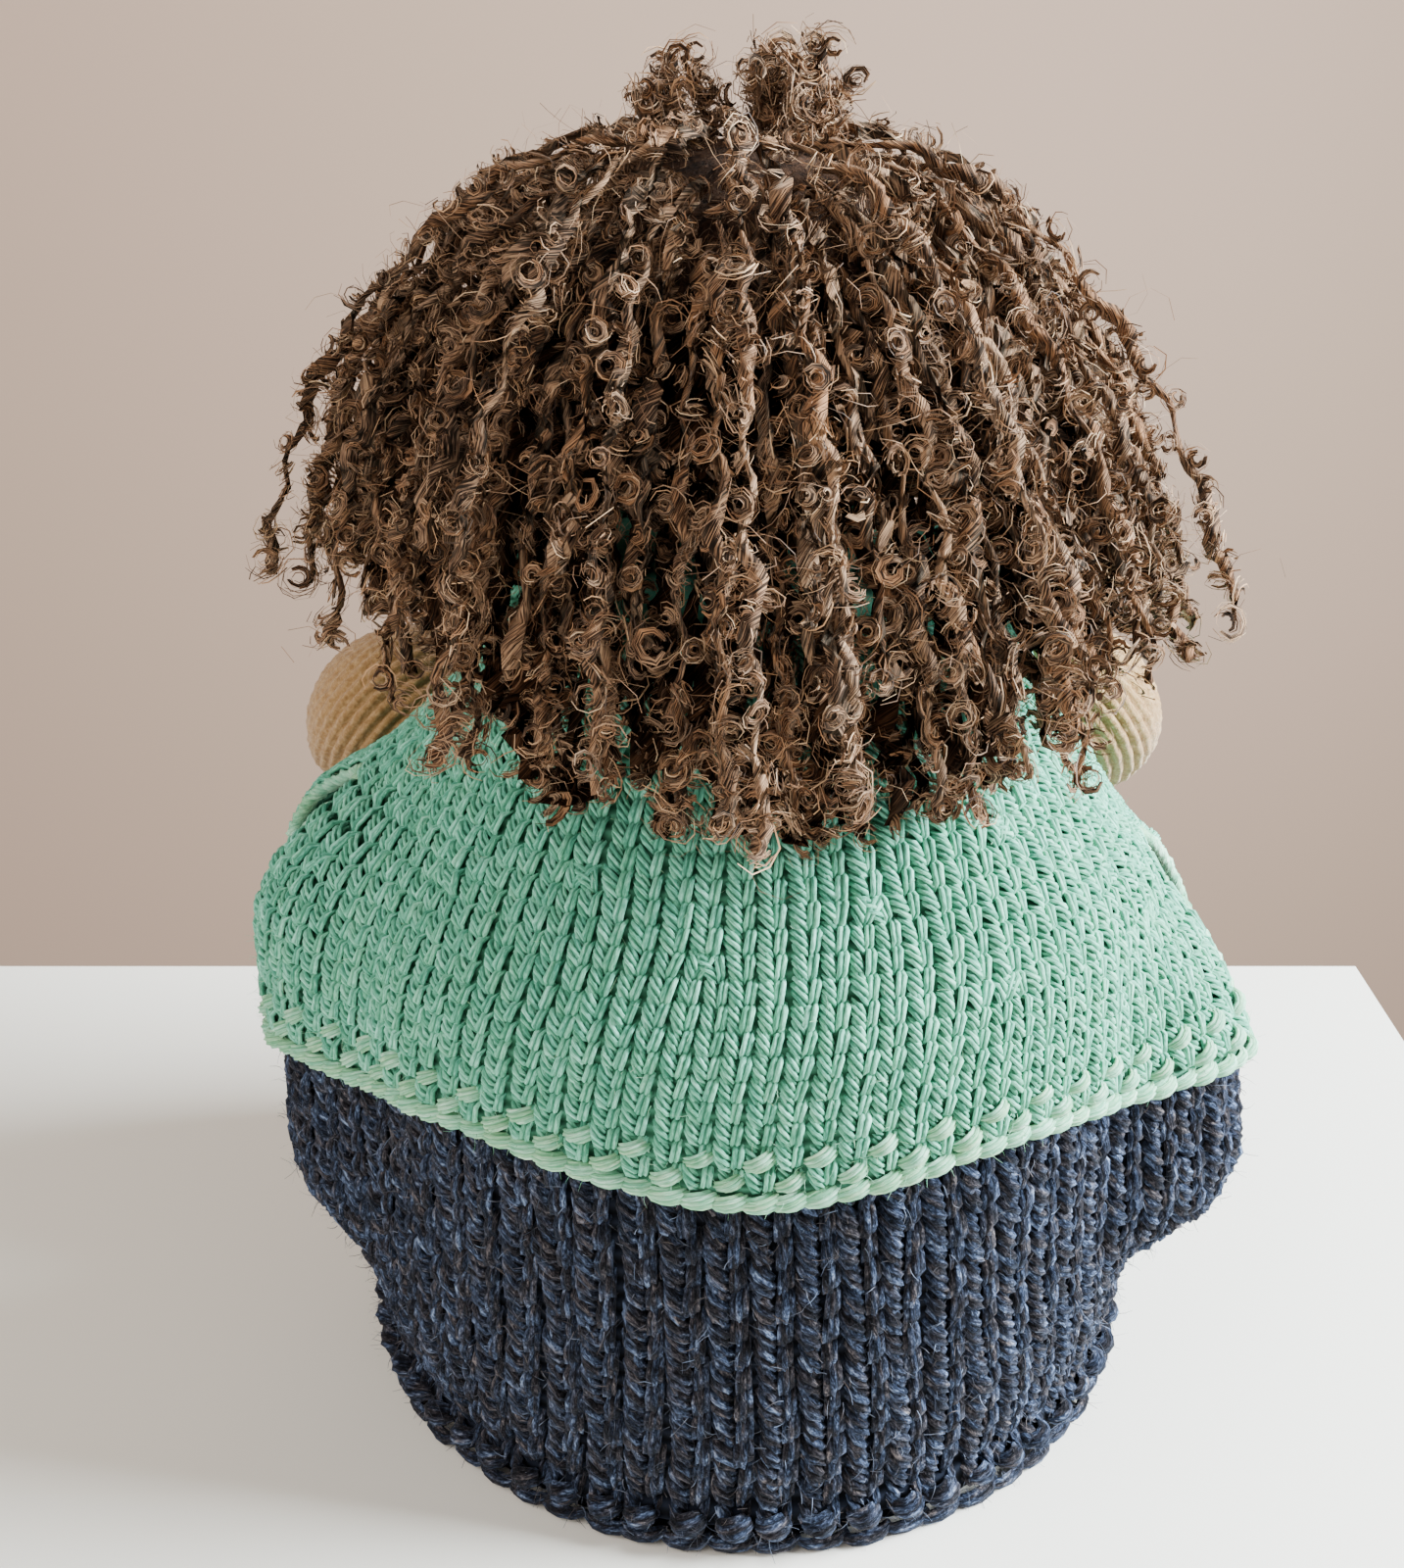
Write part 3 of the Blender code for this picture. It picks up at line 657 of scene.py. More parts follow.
print("navy cover")
navyMaterial = yarnMaterial({
    # heathered wool: navy, blue-grey and brown-grey fibres carded together, with a soft halo
    "name": "heatheredNavyWool", "roughness": 0.95, "specular": 0.06, "sheen": 0.16, "sheenTint": "#9aa3b8",
    "fibreScale": (1.5, 4.6, 1.0), "toneScale": (0.35, 0.9, 1.0), "toneShare": 0.42, "patchTint": "#d9b293",
    "colours": ((0.36, "#030409"), (0.42, "#10141f"), (0.48, "#232939"), (0.54, "#3d475e"), (0.59, "#5a6885"),
                (0.66, "#8d9ebd")),
    # painted shade in the valleys between plies: where it starts, how strong it is, and its colour
    "paintedShadeFrom": 0.22, "paintedShadeStrength": 0.72, "paintedShadeColour": "#05060a", "bump": 1.0, "bumpDepth": 0.45,
})
navyFuzzMaterial = yarnMaterial({
    # single fibres of the same wool, lit through, so they read paler than the yarn
    "name": "looseNavyFibres", "roughness": 0.8, "specular": 0.2, "sheen": 0.2, "sheenTint": "#aab3c8",
    "fibreScale": (0.4, 1.0, 1.0), "toneScale": (0.31, 1.0, 1.0), "toneShare": 0.6, "patchTint": "#d9b293",
    "colours": ((0.38, "#12151e"), (0.47, "#2c3140"), (0.53, "#4a4e58"), (0.6, "#6f7c96")),
    "paintedShadeFrom": 0.6, "paintedShadeStrength": 0.0, "paintedShadeColour": "#06070b", "bump": 0.0, "bumpDepth": 0.1,
})
navyLeg = dict(anyLeg, pitch=6.5, jitter=0.06, jitterOut=0.3, jitterSize=0.14)
navyLegs = (
    dict({**navyLeg, **woundLeg}, path=(-0.12, -0.45, -0.31, 1.2), flat=0.25, outset=-1.7, dive=1.4,
         radius=2.0, taper=0.35, steps=4, spacing=1.9, lead=9.5, valley=0.76),
    dict(navyLeg, path=(0.1, -0.45, 0.4, 1.2), flat=0.2, outset=-1.6, dive=1.7, radius=1.75, taper=0.6,
         taperPower=2.4, jitterSize=0.16, ridges=3, spacing=1.5, twist=1.8, valley=0.74))
navyBump = dict(navyLeg, path=(-0.3, 0.42, 0.3, 0.5), flat=0.25, outset=-0.8, dive=2.4, radius=2.0,
                taper=0.55, steps=7, spacing=1.5, twist=1.2, valley=0.86)
navyBead = dict(navyLeg, path=(-0.6, 0.4, 0.6, 0.6), flat=0.2, outset=1.2, dive=1.1, radius=1.5, taper=0.35,
                jitter=0.08, jitterSize=0.1, spacing=1.3, twist=1.0, valley=0.86)
navy = {
    "name": "navy", "slot": "navy_wool", "wobble": 0.035, "decreaseFrom": 0, "top": 74.0,
    "counted": ((50.0, 6.5), (50.0, 6.5)), "edgeRows": (0.5, 3.4), "firstRow": 9.2, "rowPitch": 4.6,
    "selvedge": {"radius": 1.8, "plies": 3, "lead": 11.0, "valley": 0.85, "step": 1.1, "outset": -1.9,
                 "closedEnd": 0, "rim": 75.6},
    # wool's halo; the real fibres are 0.03 mm, too fine to show, so fewer are drawn and wider
    "fibres": {"count": 3100, "length": (1.2, 3.4), "rise": 0.9, "width": 0.13, "outset": (-0.6, 0.6),
               "spread": ((0.0, 0.3, 1.0), (1.0, 7.0, 73.0))},
    "fuzz": navyFuzzMaterial, "slit_edges": navyMaterial,
}


def navyHeight(nominal, share):
    return np.clip(nominal, 0.2, 76.0)


def navyLegsOf(row, column):
    # behind the bumps the knitting sinks, and above them its first row starts short
    sunk = [(row == 1, dict(leg, outset=leg["outset"] - 0.6)) for leg in navyLegs]
    first = [(row == 2, dict(leg, path=(leg["path"][0], -0.22) + leg["path"][2:])) for leg in navyLegs]
    return (("stitches", navyMaterial, [(row > 2, leg) for leg in navyLegs] + first + sunk),
            ("hem", navyMaterial, [(row == 1, navyBump), (row == 0, navyBead)]))


heights = np.concatenate(((0.3, 1.2, 2.2, 3.6, 5.2, 7.0, 9.0, 12.0), np.linspace(16.0, 75.8, 22)))
shares, heights = np.meshgrid(np.linspace(0.0, 1.0, 45), heights)
# painted shade: the purl side's colours are dark, for the shade between the stitches
backing = backingMaterial("navyPurlSideAndShade", (1.0, 0.76, 1.0), (0.0, "#06070b"), (1.0, "#1a1e29"))
navyCloth = sheetShell("navy_cloth", shares, heights, (-2.0, -3.0), backing, "navy_wool", False)
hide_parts("navy_cover")
plainRows = rowHeights(navy["firstRow"], navy["rowPitch"], navy["top"])
navyRows = np.concatenate((navy["edgeRows"], plainRows, (plainRows[-1] + navy["rowPitch"],)))
navyKnit = knitCover(navy, navyRows, navyHeight, navyLegsOf)

print("mop of locks")
mop = {
    "ballRadius": 32.0, "ballCentre": (-3.0, 0.0, 172.5), "ballSeat": 142.9, "rootInset": 1.15,
    "lockSteps": 8, "combSteps": 3, "combPasses": 24, "combSmoothing": 0.5, "clearance": 0.5,
    "rootRadius": 0.9, "fullStep": 5, "thin": 1.35, "thick": 2.05, "seed": 11, "depthShare": 0.95,
    # root limit, shoulder out, shoulder up, bend out, bend height, tip out
    "shells": ((32.0, 11.0, 12.0, 73.5, 186.0, 77.0), (47.0, 10.0, 8.5, 67.0, 181.0, 71.0),
               (59.0, 9.0, 6.0, 62.0, 176.0, 66.5), (70.0, 8.0, 3.5, 57.0, 170.0, 62.0),
               (80.5, 7.0, 1.0, 52.0, 163.0, 57.5)),
    "bendShift": -4.5, "tipShift": -0.5, "tipBack": 122.0, "tipHandle": 146.0, "tipSpout": 136.0,
    "tipScatter": 4.0, "turnScatter": 1.8, "tufts": ((9.0, 0.0, 218.0), (-10.0, 0.0, 214.0)),
    "tuftReach": 6.2, "tuftGather": 0.5, "tuftFall": 0.9,
    "front": 5.0,  # locks that end past this y hang at the front
}


def tipHeight(turn):
    toward = math.cos(turn)
    sideHeight = mop["tipSpout"] if toward > 0.0 else mop["tipHandle"]
    return mop["tipBack"] + (sideHeight - mop["tipBack"]) * toward ** 2


def lockPath(root, shell, turn, rng):
    # a lock leaves its root near the crown, arches outward and hangs
    _, shoulderOut, shoulderUp, bendOut, bendHeight, tipOut = shell
    crown = mop["ballCentre"][0]
    turnEnd = turn + math.radians(rng.uniform(-1.0, 1.0) * mop["turnScatter"])
    tip = tipHeight(turn) + rng.uniform(-1.0, 1.0) * mop["tipScatter"]
    stations = ((turn, math.hypot(root.x, root.y) + shoulderOut, root.z + shoulderUp, crown),
                (turnEnd, bendOut, bendHeight, mop["bendShift"]), (turnEnd, tipOut, tip, mop["tipShift"]))
    controls = [root + Vector((crown, 0.0, 0.0))]
    controls += [Vector((math.cos(a) * out + shift, math.sin(a) * out * mop["depthShare"], height))
                 for a, out, height, shift in stations]
    steps = mop["lockSteps"] * mop["combSteps"]
    points = []
    for step in range(steps + 1):
        t = step / steps
        weights = ((1.0 - t) ** 3, 3.0 * t * (1.0 - t) ** 2, 3.0 * t * t * (1.0 - t), t ** 3)
        points.append(sum((w * c for w, c in zip(weights, controls)), Vector()))
    return points


def tuftPath(root, tuft):
    steps = mop["lockSteps"] // 2 * mop["combSteps"]
    start = root + Vector((mop["ballCentre"][0], 0.0, 0.0))
    inward = Vector((tuft[0] - root.x, tuft[1] - root.y, 0.0))
    rise = tuft[2] - mop["tuftFall"] * inward.length - root.z
    climb = inward * mop["tuftGather"] + Vector((0.0, 0.0, rise))
    return [start + climb * (step / steps) for step in range(steps + 1)]


def lockRadius(step):
    body = mop["thin"] if step % 2 else mop["thick"]
    return mop["rootRadius"] + (body - mop["rootRadius"]) * min(step / mop["fullStep"], 1.0)


def combApart(strands):
    # moves the locks off each other and off the ball a little at a time, and keeps them smooth
    comb, centre = mop["combSteps"], Vector(mop["ballCentre"])
    for _ in range(mop["combPasses"]):
        owners = [(strand, rank) for strand in strands for rank in range(len(strand))]
        tree = KDTree(len(owners))
        for index, (strand, rank) in enumerate(owners):
            tree.insert(strand[rank], index)
        tree.balance()
        moved = []
        for strand, rank in owners:
            point, step = strand[rank], rank // comb
            apart = 2.0 * max(lockRadius(step), lockRadius(step + 1)) + mop["clearance"]
            push = Vector()
            for other, index, distance in tree.find_range(point, apart):
                if owners[index][0] is not strand and distance > 0.0:
                    push += (point - other) * (0.5 * (apart - distance) / distance)
            fromBall = point - centre
            sunk = mop["ballRadius"] + 0.5 * apart - fromBall.length
            if sunk > 0.0 and rank > comb:
                push += fromBall.normalized() * sunk
            if 0 < rank < len(strand) - 1:
                push += ((strand[rank - 1] + strand[rank + 1]) / 2.0 - point) * mop["combSmoothing"]
            moved.append(point + push * min(rank / comb, 1.0))
        for (strand, rank), point in zip(owners, moved):
            strand[rank] = point


# inward: how far inside its neighbours' ring a lock lies; lower: mm that its tip drops at the back, where the
# inner ones reach the mint top's shoulder; share: where it lies between them; kept: its part of their length
besideLook = {
    "outer": {"inward": (0.0, 0.05), "lower": (-4.0, 3.0)},
    "inner": {"inward": (-0.02, 0.1), "lower": (4.0, 11.0)},
    "share": (0.3, 0.7), "shareScatter": 0.08, "kept": (0.86, 1.0), "spoutSlope": 0.1, "fadeSteps": 8.0,
    "tuftLean": ((-4.0, 4.0), (-4.0, 4.0), (5.0, 9.5)), "tuftSteps": 8,
}


def locksBeside(paths, rng):
    # lighter locks beside the modelled ones: they cling to one neighbour, so ropes form with dark between
    look, made = besideLook, []
    for order in range(len(mop["shells"])):
        inner = order > 2
        shell = look["inner" if inner else "outer"]
        ring = [path for which, path in paths if which == order]
        for one, two in zip(ring, ring[1:] + ring[:1]):
            # low at the back the inner ones hang twice as close
            for _ in range(2 if inner and one[-1].y < mop["front"] else 1):
                share = rng.choice(look["share"]) + rng.uniform(-1.0, 1.0) * look["shareScatter"]
                inward, lower = rng.uniform(*shell["inward"]), rng.uniform(*shell["lower"])
                lock = []
                for rank in range(len(one) if inner else int(len(one) * rng.uniform(*look["kept"]))):
                    x, y, z = one[rank] * (1.0 - share) + two[rank] * share
                    fade = 1.0 - inward * min(rank / look["fadeSteps"], 1.0)
                    drop = (lower + look["spoutSlope"] * x) * max(-y / math.hypot(x, y), 0.0)
                    lock.append(Vector((x * fade, y * fade, z - drop * (rank / len(one)) ** 2)))
                made.append((order if inner else len(mop["shells"]), lock))
    steps = look["tuftSteps"]
    for root in [path[0] for which, path in paths if which == -1] * 2:
        lean = Vector([rng.uniform(*reach) for reach in look["tuftLean"]])
        made.append((-1, [root + lean * (step / steps) for step in range(steps + 1)]))
    return made


def lockPaths():
    rng = random.Random(mop["seed"])
    centre = Vector(mop["ballCentre"])
    shells, radius = mop["shells"], mop["ballRadius"]
    bm = bmesh.new()
    bmesh.ops.create_icosphere(bm, subdivisions=3, radius=radius * mm, matrix=Matrix.Translation(centre * mm))
    for vert in bm.verts:
        vert.co.z = max(vert.co.z, mop["ballSeat"] * mm)
    lowest = centre.z + radius * math.cos(math.radians(shells[-1][0]))
    faces = [face for face in bm.faces if face.calc_center_median().z > lowest * mm]
    bmesh.ops.inset_individual(bm, faces=faces, thickness=mop["rootInset"] * mm, use_even_offset=True)
    groups, paths = [[] for _ in shells], []
    for face in faces:
        root = face.calc_center_median() / mm - Vector((centre.x, 0.0, 0.0))
        tuft = next((t for t in mop["tufts"] if math.hypot(root.x - t[0], root.y - t[1]) < mop["tuftReach"]),
                    None)
        if tuft:
            paths.append((-1, tuftPath(root, tuft)))
        else:
            polar = math.degrees(math.acos(min((root.z - centre.z) / radius, 1.0)))
            order = next(i for i, shell in enumerate(shells) if polar <= shell[0])
            groups[order].append((math.atan2(root.y, root.x), root))
    bm.free()
    for order, (shell, members) in enumerate(zip(shells, groups)):
        members.sort(key=lambda member: member[0])
        spacing = 2.0 * math.pi / len(members)
        first = sum(turn - spacing * rank for rank, (turn, _) in enumerate(members)) / len(members)
        for rank, (_, root) in enumerate(members):
            paths.append((order, lockPath(root, shell, first + spacing * rank, rng)))
    combApart([path for _, path in paths])
    return paths + locksBeside(paths, rng)


def smoothPath(points, spacing):
    # even points along a curve through the given ones, and the length run at each
    points = np.array([tuple(p) for p in points])
    run = runAlong(points)
    fine = np.linspace(0.0, run[-1], 8 * len(points))
    slopes = np.gradient(points, run, axis=0)
    low = np.clip(np.searchsorted(run, fine, side="right") - 1, 0, len(run) - 2)
    span = (run[low + 1] - run[low])[:, None]
    t = (fine - run[low])[:, None] / span
    curve = (points[low] * (2 * t ** 3 - 3 * t ** 2 + 1) + points[low + 1] * (3 * t ** 2 - 2 * t ** 3)
             + slopes[low] * span * (t ** 3 - 2 * t ** 2 + t) + slopes[low + 1] * span * (t ** 3 - t ** 2))
    run = runAlong(curve)
    places = np.linspace(0.0, run[-1], max(int(run[-1] / spacing), 2) + 1)
    return readLine(places, run, curve), places


hairLook = {
    # brushed mohair boucle: long lustrous fibres over a darker core, so single ones catch the light
    "name": "brownMohairBundles", "roughness": 0.85, "specular": 0.08, "sheen": 0.12, "sheenTint": "#d9c2a8",
    # single fibres are 0.03 mm, too fine to show, so each line is drawn about 0.1 mm wide
    "fibreScale": (0.3, 5.5, 1.0), "fibreDetail": 2.0, "toneScale": (0.03, 0.1, 1.0), "toneShare": 0.25,
    "patchTint": "#efd9c6",
    "colours": ((0.4, "#130e0a"), (0.475, "#34261d"), (0.51, "#695040"), (0.55, "#917259"),
                (0.62, "#ad8c6d")),
    "paintedShadeFrom": 30.0, "paintedShadeStrength": 0.0, "paintedShadeColour": "#3a261b", "bump": 1.0, "bumpDepth": 0.16,
}
hairMaterial = yarnMaterial(hairLook)
# single fibres, lit through and so paler
fibreMaterial = yarnMaterial(dict(
    hairLook, name="brownMohairFibres", toneShare=0.8, roughness=0.6, specular=0.2, bump=0.0,
    colours=((0.36, "#3c2c22"), (0.45, "#705643"), (0.53, "#9c7c61"), (0.62, "#cbaa86"))))
# the cores of the two inner shells: a darker copy of the bundles' material, painted shade that shows as the
# dark between the ropes
coreShadeMaterial = yarnMaterial(dict(hairLook, name="shadedMohairCores", sheen=0.0, specular=0.02,
                                  colours=((0.4, "#0a0705"), (0.5, "#281c14"), (0.6, "#4f3a2c"))))
coreLook = {"corners": 3, "long": 0.95, "short": 0.55, "lumps": 0.5, "lumpRun": 5.1, "twistLead": 6.4,
            "wiggle": 0.7, "wiggleRun": 11.0, "wiggleFrom": 20.0, "drawnIn": 2.6, "drawnFrom": 20.0,
            "drawnOver": 30.0, "rootSize": 0.4, "rootRun": 14.0}
# spin and tilt: how the rings turn along a lock; fatEnd: how much wider they get over its last fatRun mm;
# hidden: the share of an inner lock that stays bare
ringLook = {"radius": (1.6, 2.5), "offset": 0.6, "flatShare": 0.55, "fatEnd": 0.25, "fatRun": 14.0,
            "tilt": 0.8, "spin": 2.8, "gapWave": 0.4, "frontGap": (1.35, 1.9), "tuftGap": 0.55,
            "tuftSize": 1.15, "rootSize": 0.7, "rootRun": 60.0, "lift": 0.8, "hidden": 0.35}
strapLook = {"turns": (0.55, 0.9), "spread": 0.7, "from": 0.5, "size": (0.4, 0.85), "scatter": 0.6,
             "coil": 0.6, "lean": (0.8, 1.57), "kink": 0.05}
fibreLook = {"turns": (0.5, 0.88), "spread": 1.4, "from": 0.45, "size": (0.25, 1.25), "scatter": 0.5,
             "coil": 0.9, "lean": (0.0, 1.57), "kink": 0.1, "width": (0.12, 0.22)}
strayLook = {"bend": (2.2, 5.0), "sweep": (1.2, 3.6), "width": 0.09}
# full: the locks of the solid's outer shells; light: its inner ones; beside: the drawn ones between them
lockGrades = {
    "full": {"step": 1.8, "coreSize": 1.1, "gap": (2.8, 4.5), "fibres": 10, "stray": 2.9,
             "strapWidth": (0.45, 0.95), "bare": 0.5},
    "light": {"step": 3.0, "coreSize": 2.0, "gap": (3.95, 6.2), "fibres": 6, "stray": 9.0,
              "strapWidth": (0.9, 1.6), "bare": 2.5},
}
lockGrades["beside"] = dict(lockGrades["light"], coreSize=1.35)


def makeRings(centre, axisA, axisB, radius, look, width):
    # part rings of ribbon round each centre, in the plane of the two axes
    count, theta = len(centre), np.linspace(0.0, 1.0, 7)
    plane = np.cross(axisA, axisB)
    sweep = dice.uniform(*look["turns"], count) * dice.choice((-1.0, 1.0), count) * 2.0 * np.pi
    start = np.pi + dice.uniform(-look["spread"], look["spread"], count)
    angle = start[:, None] + sweep[:, None] * (theta - look["from"])
    size = radius * dice.uniform(*look["size"], count)
    squeeze = 1.0 - 0.35 * theta * dice.uniform(-0.3, 1.0, (count, 1))
    squeeze = squeeze * (1.0 + dice.uniform(-look["kink"], look["kink"], angle.shape))
    off = dice.normal(0.0, look["scatter"], (count, 1)) + look["coil"] * (theta - 0.5)
    radial = aimed(angle, axisA[:, None], axisB[:, None])
    line = centre[:, None] + radial * (size[:, None] * squeeze)[..., None] + plane[:, None] * off[..., None]
    lean = dice.uniform(*look["lean"], (count, 1)) * dice.choice((-1.0, 1.0), (count, 1))
    wide = aimed(lean, plane[:, None], radial)
    width = dice.uniform(*width, (count, 1))
    # narrow at both ends
    half = 0.5 * width * (0.35 + 0.65 * np.sin(np.pi * np.clip(theta, 0.04, 0.96)) ** 0.5)
    seed = dice.uniform(0.0, 900.0, (count, 1))
    along = theta * (np.abs(sweep) * size)[:, None] + seed
    return ribbonMesh(line, wide * half[..., None], along, seed * 1.7, width)


def strayFibres(points, run, grade, start):
    # loose fibres that arch off the lock
    many = max(int(run[-1] / grade["stray"]), 1)
    base = readLine(dice.uniform(start, run[-1], many), run, points)
    first = unit(dice.normal(0.0, 1.0, (many, 3)))
    second = unit(np.cross(first, dice.normal(0.0, 1.0, (many, 3))))
    bend = dice.uniform(*strayLook["bend"], (many, 1))
    theta = np.linspace(0.0, 1.0, 5) * dice.uniform(*strayLook["sweep"], (many, 1))
    arch = np.sin(theta)[..., None] * first[:, None] + (1.0 - np.cos(theta))[..., None] * second[:, None]
    wide = unit(np.cross(first, second) + dice.normal(0.0, 0.5, (many, 3)))[:, None]
    along = theta * bend + dice.uniform(0.0, 900.0, (many, 1))
    reach = 0.5 * strayLook["width"] * wide
    return ribbonMesh(base[:, None] + bend[..., None] * arch, reach, along, 0.3, 0.4)


def coreTube(points, run, side, other, size, phase):
    # twisted core of a lock: a flat cord, turned as it goes, lumpy, and thin at its root
    look = coreLook
    turn = run / look["twistLead"] * 2.0 * np.pi + phase
    lumps = (1.0 - look["lumps"] * np.sin(run / look["lumpRun"] + phase)) * np.clip(
        look["rootSize"] + run / look["rootRun"], 0.0, 1.0)
    corner = np.arange(look["corners"])
    reach = np.where(corner % 2 == 0, look["long"], look["short"]) * lumps[:, None] * size
    angle = turn[:, None] + corner * 2.0 * np.pi / look["corners"]
    tube = points[:, None] + reach[..., None] * aimed(angle, side[:, None], other[:, None])
    strand = np.stack(np.broadcast_arrays(run[:, None] + dice.uniform(0.0, 900.0), corner * 1.0), -1)
    return gridMesh(tube, strand, True)


def makeMop():
    cores, inner, straps, fibres, strays, ringCount = [], [], [], [], [], 0
    look, core = ringLook, coreLook
    for order, path in lockPaths():
        tuft, innerShell = order < 0, order in (3, 4)
        grade = lockGrades["full" if order < 3 else "light" if innerShell else "beside"]
        points, run = smoothPath(path, grade["step"])
        # the rings stand proud of the lock, so its core lies a little inside the mop's outline
        out = np.hypot(points[:, 0], points[:, 1])
        drawn = core["drawnIn"] * np.clip((out - core["drawnFrom"]) / core["drawnOver"], 0.0, 1.0)
        points[:, :2] *= (1.0 - drawn / np.maximum(out, 1.0))[:, None]
        along, side, other = frameAlong(points)
        phase = dice.uniform(0.0, 6.28, 2)
        sway = core["wiggle"] * np.minimum(run / core["wiggleFrom"], 1.0)
        way = run / core["wiggleRun"]
        points = (points + (sway * np.sin(way * 6.28 + phase[0]))[:, None] * side
                  + (sway * np.cos(way * 5.1 + phase[1]))[:, None] * other + outline["shift"])
        along, side, other = frameAlong(points)
        (inner if innerShell else cores).append(
            coreTube(points, run, side, other, grade["coreSize"], phase[0]))
        # rings of fibre thrown off the core, closer in some places than in others, and towards the tip
        # the two inner shells start under the outer ones, where nothing shows
        place, centres = 0.5 if tuft else look["hidden"] * run[-1] if innerShell else grade["bare"], []
        while place < run[-1] - 0.5:
            centres.append(place)
            wave = 1.0 + look["gapWave"] * math.sin(place / core["lumpRun"] + phase[0])
            step = dice.uniform(*grade["gap"]) * wave
            step *= look["frontGap"][order > 2] if points[-1, 1] > mop["front"] else 1.0
            place += step * (look["tuftGap"] if tuft else 1.25 - 0.5 * place / run[-1])
        centres = np.array(centres + [run[-1] - 0.3])
        count = len(centres)
        base, t, n = [readLine(centres, run, line) for line in (points, along, side)]
        t = unit(t)
        n = unit(n - (n * t).sum(1, keepdims=True) * t)
        b = np.cross(t, n)
        spin = np.arange(count) * look["spin"] + dice.uniform(-0.5, 0.5, count) + phase[1]
        outward, beside = aimed(spin, n, b), aimed(spin + 0.5 * np.pi, n, b)
        tilt = dice.uniform(-look["tilt"], look["tilt"], count)
        # some rings stand off the lock edgeways and the rest lie flat on it
        flat = dice.uniform(0.0, 1.0, (count, 1)) < look["flatShare"]
        axisA = np.where(flat, beside, outward)
        axisB = aimed(tilt, t, np.where(flat, outward, beside))
        radius = dice.uniform(*look["radius"], count)
        radius *= np.minimum(look["rootSize"] + centres / look["rootRun"], 1.0)
        radius *= look["tuftSize"] if tuft else 1.0
        radius *= 1.0 + look["fatEnd"] * np.clip(1.0 - (run[-1] - centres) / look["fatRun"], 0.0, 1.0)
        lift = np.where(flat, look["lift"], 0.0) * outward
        middle = base + lift + axisA * (radius * look["offset"])[:, None]
        rings = middle, axisA, axisB, radius
        straps += [makeRings(*rings, strapLook, grade["strapWidth"]) for _ in range(2)]
        fibres += [makeRings(*rings, fibreLook, fibreLook["width"]) for _ in range(grade["fibres"])]
        ringCount += count
        strays.append(strayFibres(points, run, grade, 0.0 if tuft else 4.0))
    print("  rings", ringCount)
    made = [("cores", cores, hairMaterial), ("inner_cores", inner, coreShadeMaterial)]
    made += [(f"bundles_{half}", straps[half::2], hairMaterial) for half in range(2)]
    made += [(f"fibres_{half}", fibres[half::2], fibreMaterial) for half in range(2)]
    made += [("strays", strays, fibreMaterial)]
    return [makePiece("hair_" + name, *join(parts), material, "brown_boucle")
            for name, parts, material in made]


mopPieces = makeMop()
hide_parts("hair_mop")


def feltMaterial(look):
    # wound or brushed wool: no strands, only soft patches of colour and a fine nap
    material, tree, shader = startMaterial(look["name"], Roughness=0.9, Specular_IOR_Level=0.15,
                                           Sheen_Weight=look["sheen"])
    place = addNode(tree, "TexCoord")
    noise = addNode(tree, "TexNoise", {"Vector": place.outputs["Object"], "Scale": look["scale"],
                                       "Detail": 5.0, "Roughness": 0.7})
    colours = addNode(tree, "ValToRGB", {"Fac": noise}, look["colours"])
    bump = addNode(tree, "Bump", {"Height": noise, "Strength": look["bump"], "Distance": look["depth"] * mm})
    setInputs(shader, {"Base Color": colours, "Normal": bump})
    return material


def makeBall(name, centre, size, lean, ridges, material, slot, rings, around):
    # a stuffed ball; ridges gives how far its surface stands off, at angles from its pole and round it
    polar = np.linspace(0.02, np.pi - 0.02, rings)
    turn = np.linspace(0.0, 2.0 * np.pi, around, endpoint=False)
    p, a = np.meshgrid(polar, turn, indexing="ij")
    direction = np.stack((np.sin(p) * np.cos(a), np.sin(p) * np.sin(a), np.cos(p)), -1)
    where = direction * (np.array(size) + ridges(p, a)[..., None])
    where = where @ np.array(lean).T + centre
    strand = np.stack((a * size[0], p / np.pi), -1)
    return makePiece(name, *gridMesh(where, strand, True), material, slot)


crownShadeMaterial = feltMaterial({
    # near-black brown ball under the locks: painted shade, for the deep shade inside the mop between them
    "name": "nearBlackShadeUnderLocks", "sheen": 0.0, "scale": 700.0, "bump": 1.0, "depth": 2.5,
    "colours": ((0.35, "#1c110b"), (0.65, "#553a29")),
})
# a little inside the ball that the locks root in
crown = makeBall("crown_ball", np.array(mop["ballCentre"]) + outline["shift"], (29.5, 29.5, 29.5), np.eye(3),
                 lambda p, a: 0.0 * p, crownShadeMaterial, "brown_boucle", rings=32, around=40)

print("stuffed rounds")
roundLook = {"radius": 17.6, "halfThickness": 15.1, "tilt": 32.0, "ribs": 21, "stitches": 24.0,
             "seats": {"round_spout_side": (40.0, 82.2, 94.0), "round_handle_side": (143.5, 82.3, 94.0)}}
peachMaterial = feltMaterial({
    # pale brushed wool, stuffed tight: soft, with a faint bloom
    "name": "brushedPeachWool", "sheen": 0.4, "scale": 1100.0, "bump": 0.9, "depth": 0.6,
    "colours": ((0.3, "#8c6335"), (0.5, "#a88050"), (0.7, "#c6a274")),
})


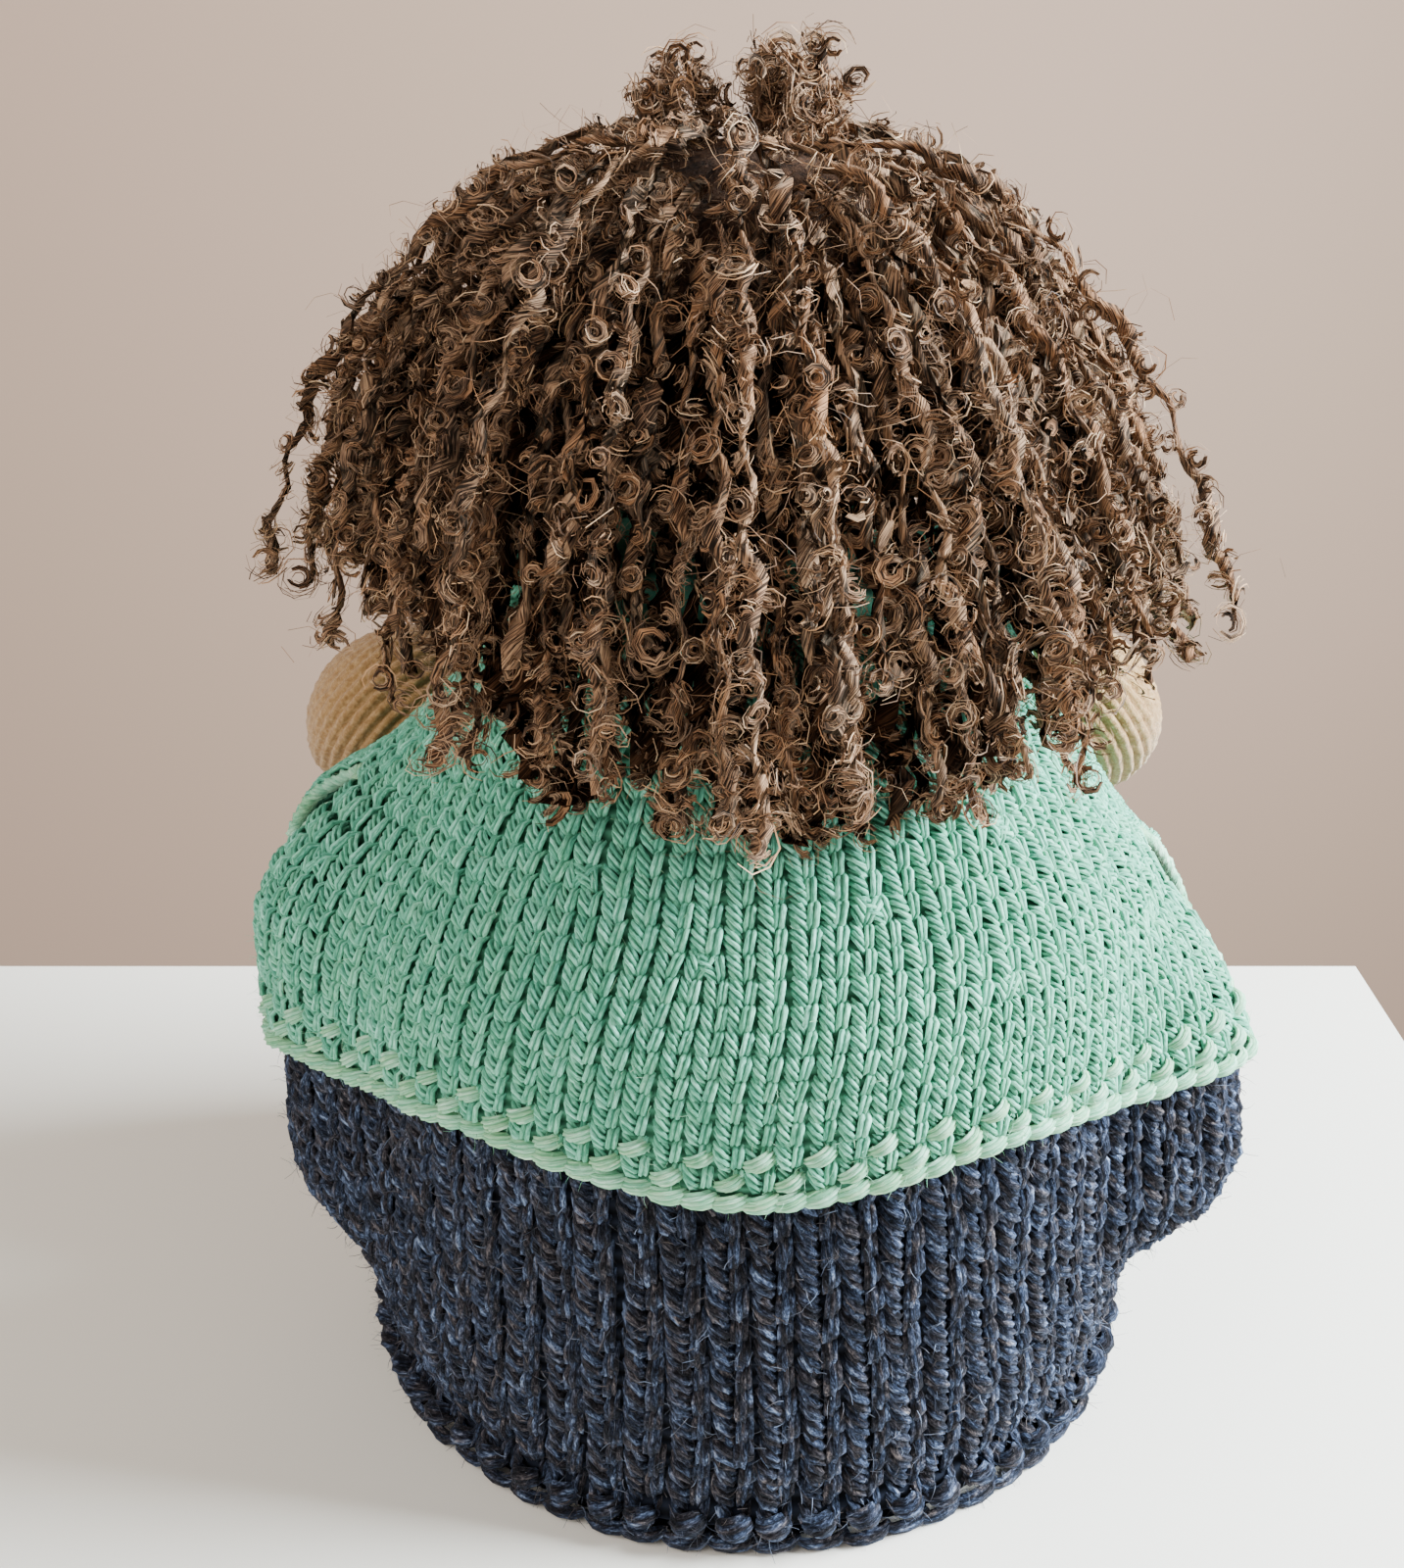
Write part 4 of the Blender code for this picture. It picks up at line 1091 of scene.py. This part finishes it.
def roundRibs(polar, turn):
    # rows of knitting that ring the round: deep beside the seam to the shoulder, faint further out
    share = polar / np.pi
    depth = 0.16 + 0.5 * np.clip((share - 0.3) / 0.4, 0.0, 1.0)
    rib = 1.0 - 2.0 * np.abs(np.sin(polar * roundLook["ribs"])) ** 0.8
    row = np.floor(polar * roundLook["ribs"] / np.pi)
    stitch = np.cos(turn * roundLook["stitches"] + row * np.pi * 0.9 + 1.3 * np.sin(polar * 5.0))
    slack = 0.14 * np.sin(turn * 3.0 + polar * 4.0) + 0.1 * np.sin(turn * 7.0 - polar * 9.0)
    return depth * -rib + (0.2 * stitch * (1.0 - rib) * 0.5 + slack) * np.sin(polar)


for name, (angle, reach, height) in roundLook["seats"].items():
    turn = math.radians(angle)
    lean = Matrix.Rotation(turn, 3, "Z") @ Matrix.Rotation(math.radians(90.0 - roundLook["tilt"]), 3, "Y")
    centre = np.array((math.cos(turn) * reach, math.sin(turn) * reach, height)) + outline["shift"]
    size = (roundLook["radius"], roundLook["radius"], roundLook["halfThickness"])
    ball = makeBall("stuffed_" + name, centre, size, lean, roundRibs, peachMaterial, "peach_wool",
                    rings=106, around=72)
    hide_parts(name)

print("stage, lights and camera")


def matt(name, code):
    return startMaterial(name, Base_Color=linear(code), Roughness=0.7)[0]


def makeStage(name, corners, material):
    mesh = bpy.data.meshes.new(name)
    mesh.from_pydata(corners, [], [tuple(range(len(corners)))])
    mesh.materials.append(material)
    plane = addObject(name, mesh)
    plane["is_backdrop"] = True


# in metres: the shelf ends a little behind and beside the cosy, and the wall is a metre past it
wallPaint, shelfPaint = matt("warmPaint", "#c6a691"), matt("paleShelf", "#f3ede3")
makeStage("shelf", [(-3, -3, 0), (0.152, -3, 0), (0.152, 0.117, 0), (-3, 0.117, 0)], shelfPaint)
makeStage("wall", [(-3, 1.2, -2), (3, 1.2, -2), (3, 1.2, 3), (-3, 1.2, 3)], wallPaint)

lights = {  # place, aim, width, watts, colour
    "window": ((0.85, -0.02, 0.5), (0.0, 0.0, 0.09), 0.45, 73.0, "#edf9ff"),
    "fill": ((-0.75, -0.45, 0.8), (0.0, 0.0, 0.1), 0.9, 12.0, "#f6f1ea"),
}
for name, (place, aim, width, watts, code) in lights.items():
    lamp = bpy.data.lights.new(name, "AREA")
    lamp.size, lamp.energy, lamp.color = width, watts, linear(code)[:3]
    holder = addObject(name, lamp)
    holder.location = place
    holder.rotation_euler = (Vector(aim) - Vector(place)).to_track_quat("-Z", "Y").to_euler()
world = bpy.data.worlds.new("softRoom")
world.use_nodes = True
setInputs(world.node_tree.nodes["Background"], {"Color": linear("#e8e6e3"), "Strength": 0.49})
bpy.context.scene.world = world

view = bpy.data.cameras.new("camera")
view.lens, view.sensor_width, view.sensor_fit = 42.75, 36.0, "AUTO"  # 1433 x 1600 image
camera = addObject("camera", view)
camera.location = (-0.00787, -0.281, 0.226)
camera.rotation_euler = (math.radians(66.0), 0.0, 0.0)
bpy.context.scene.camera = camera

triangles = sum(len(face.vertices) - 2 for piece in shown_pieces() for face in piece.data.polygons)
print("  triangles in all", triangles)
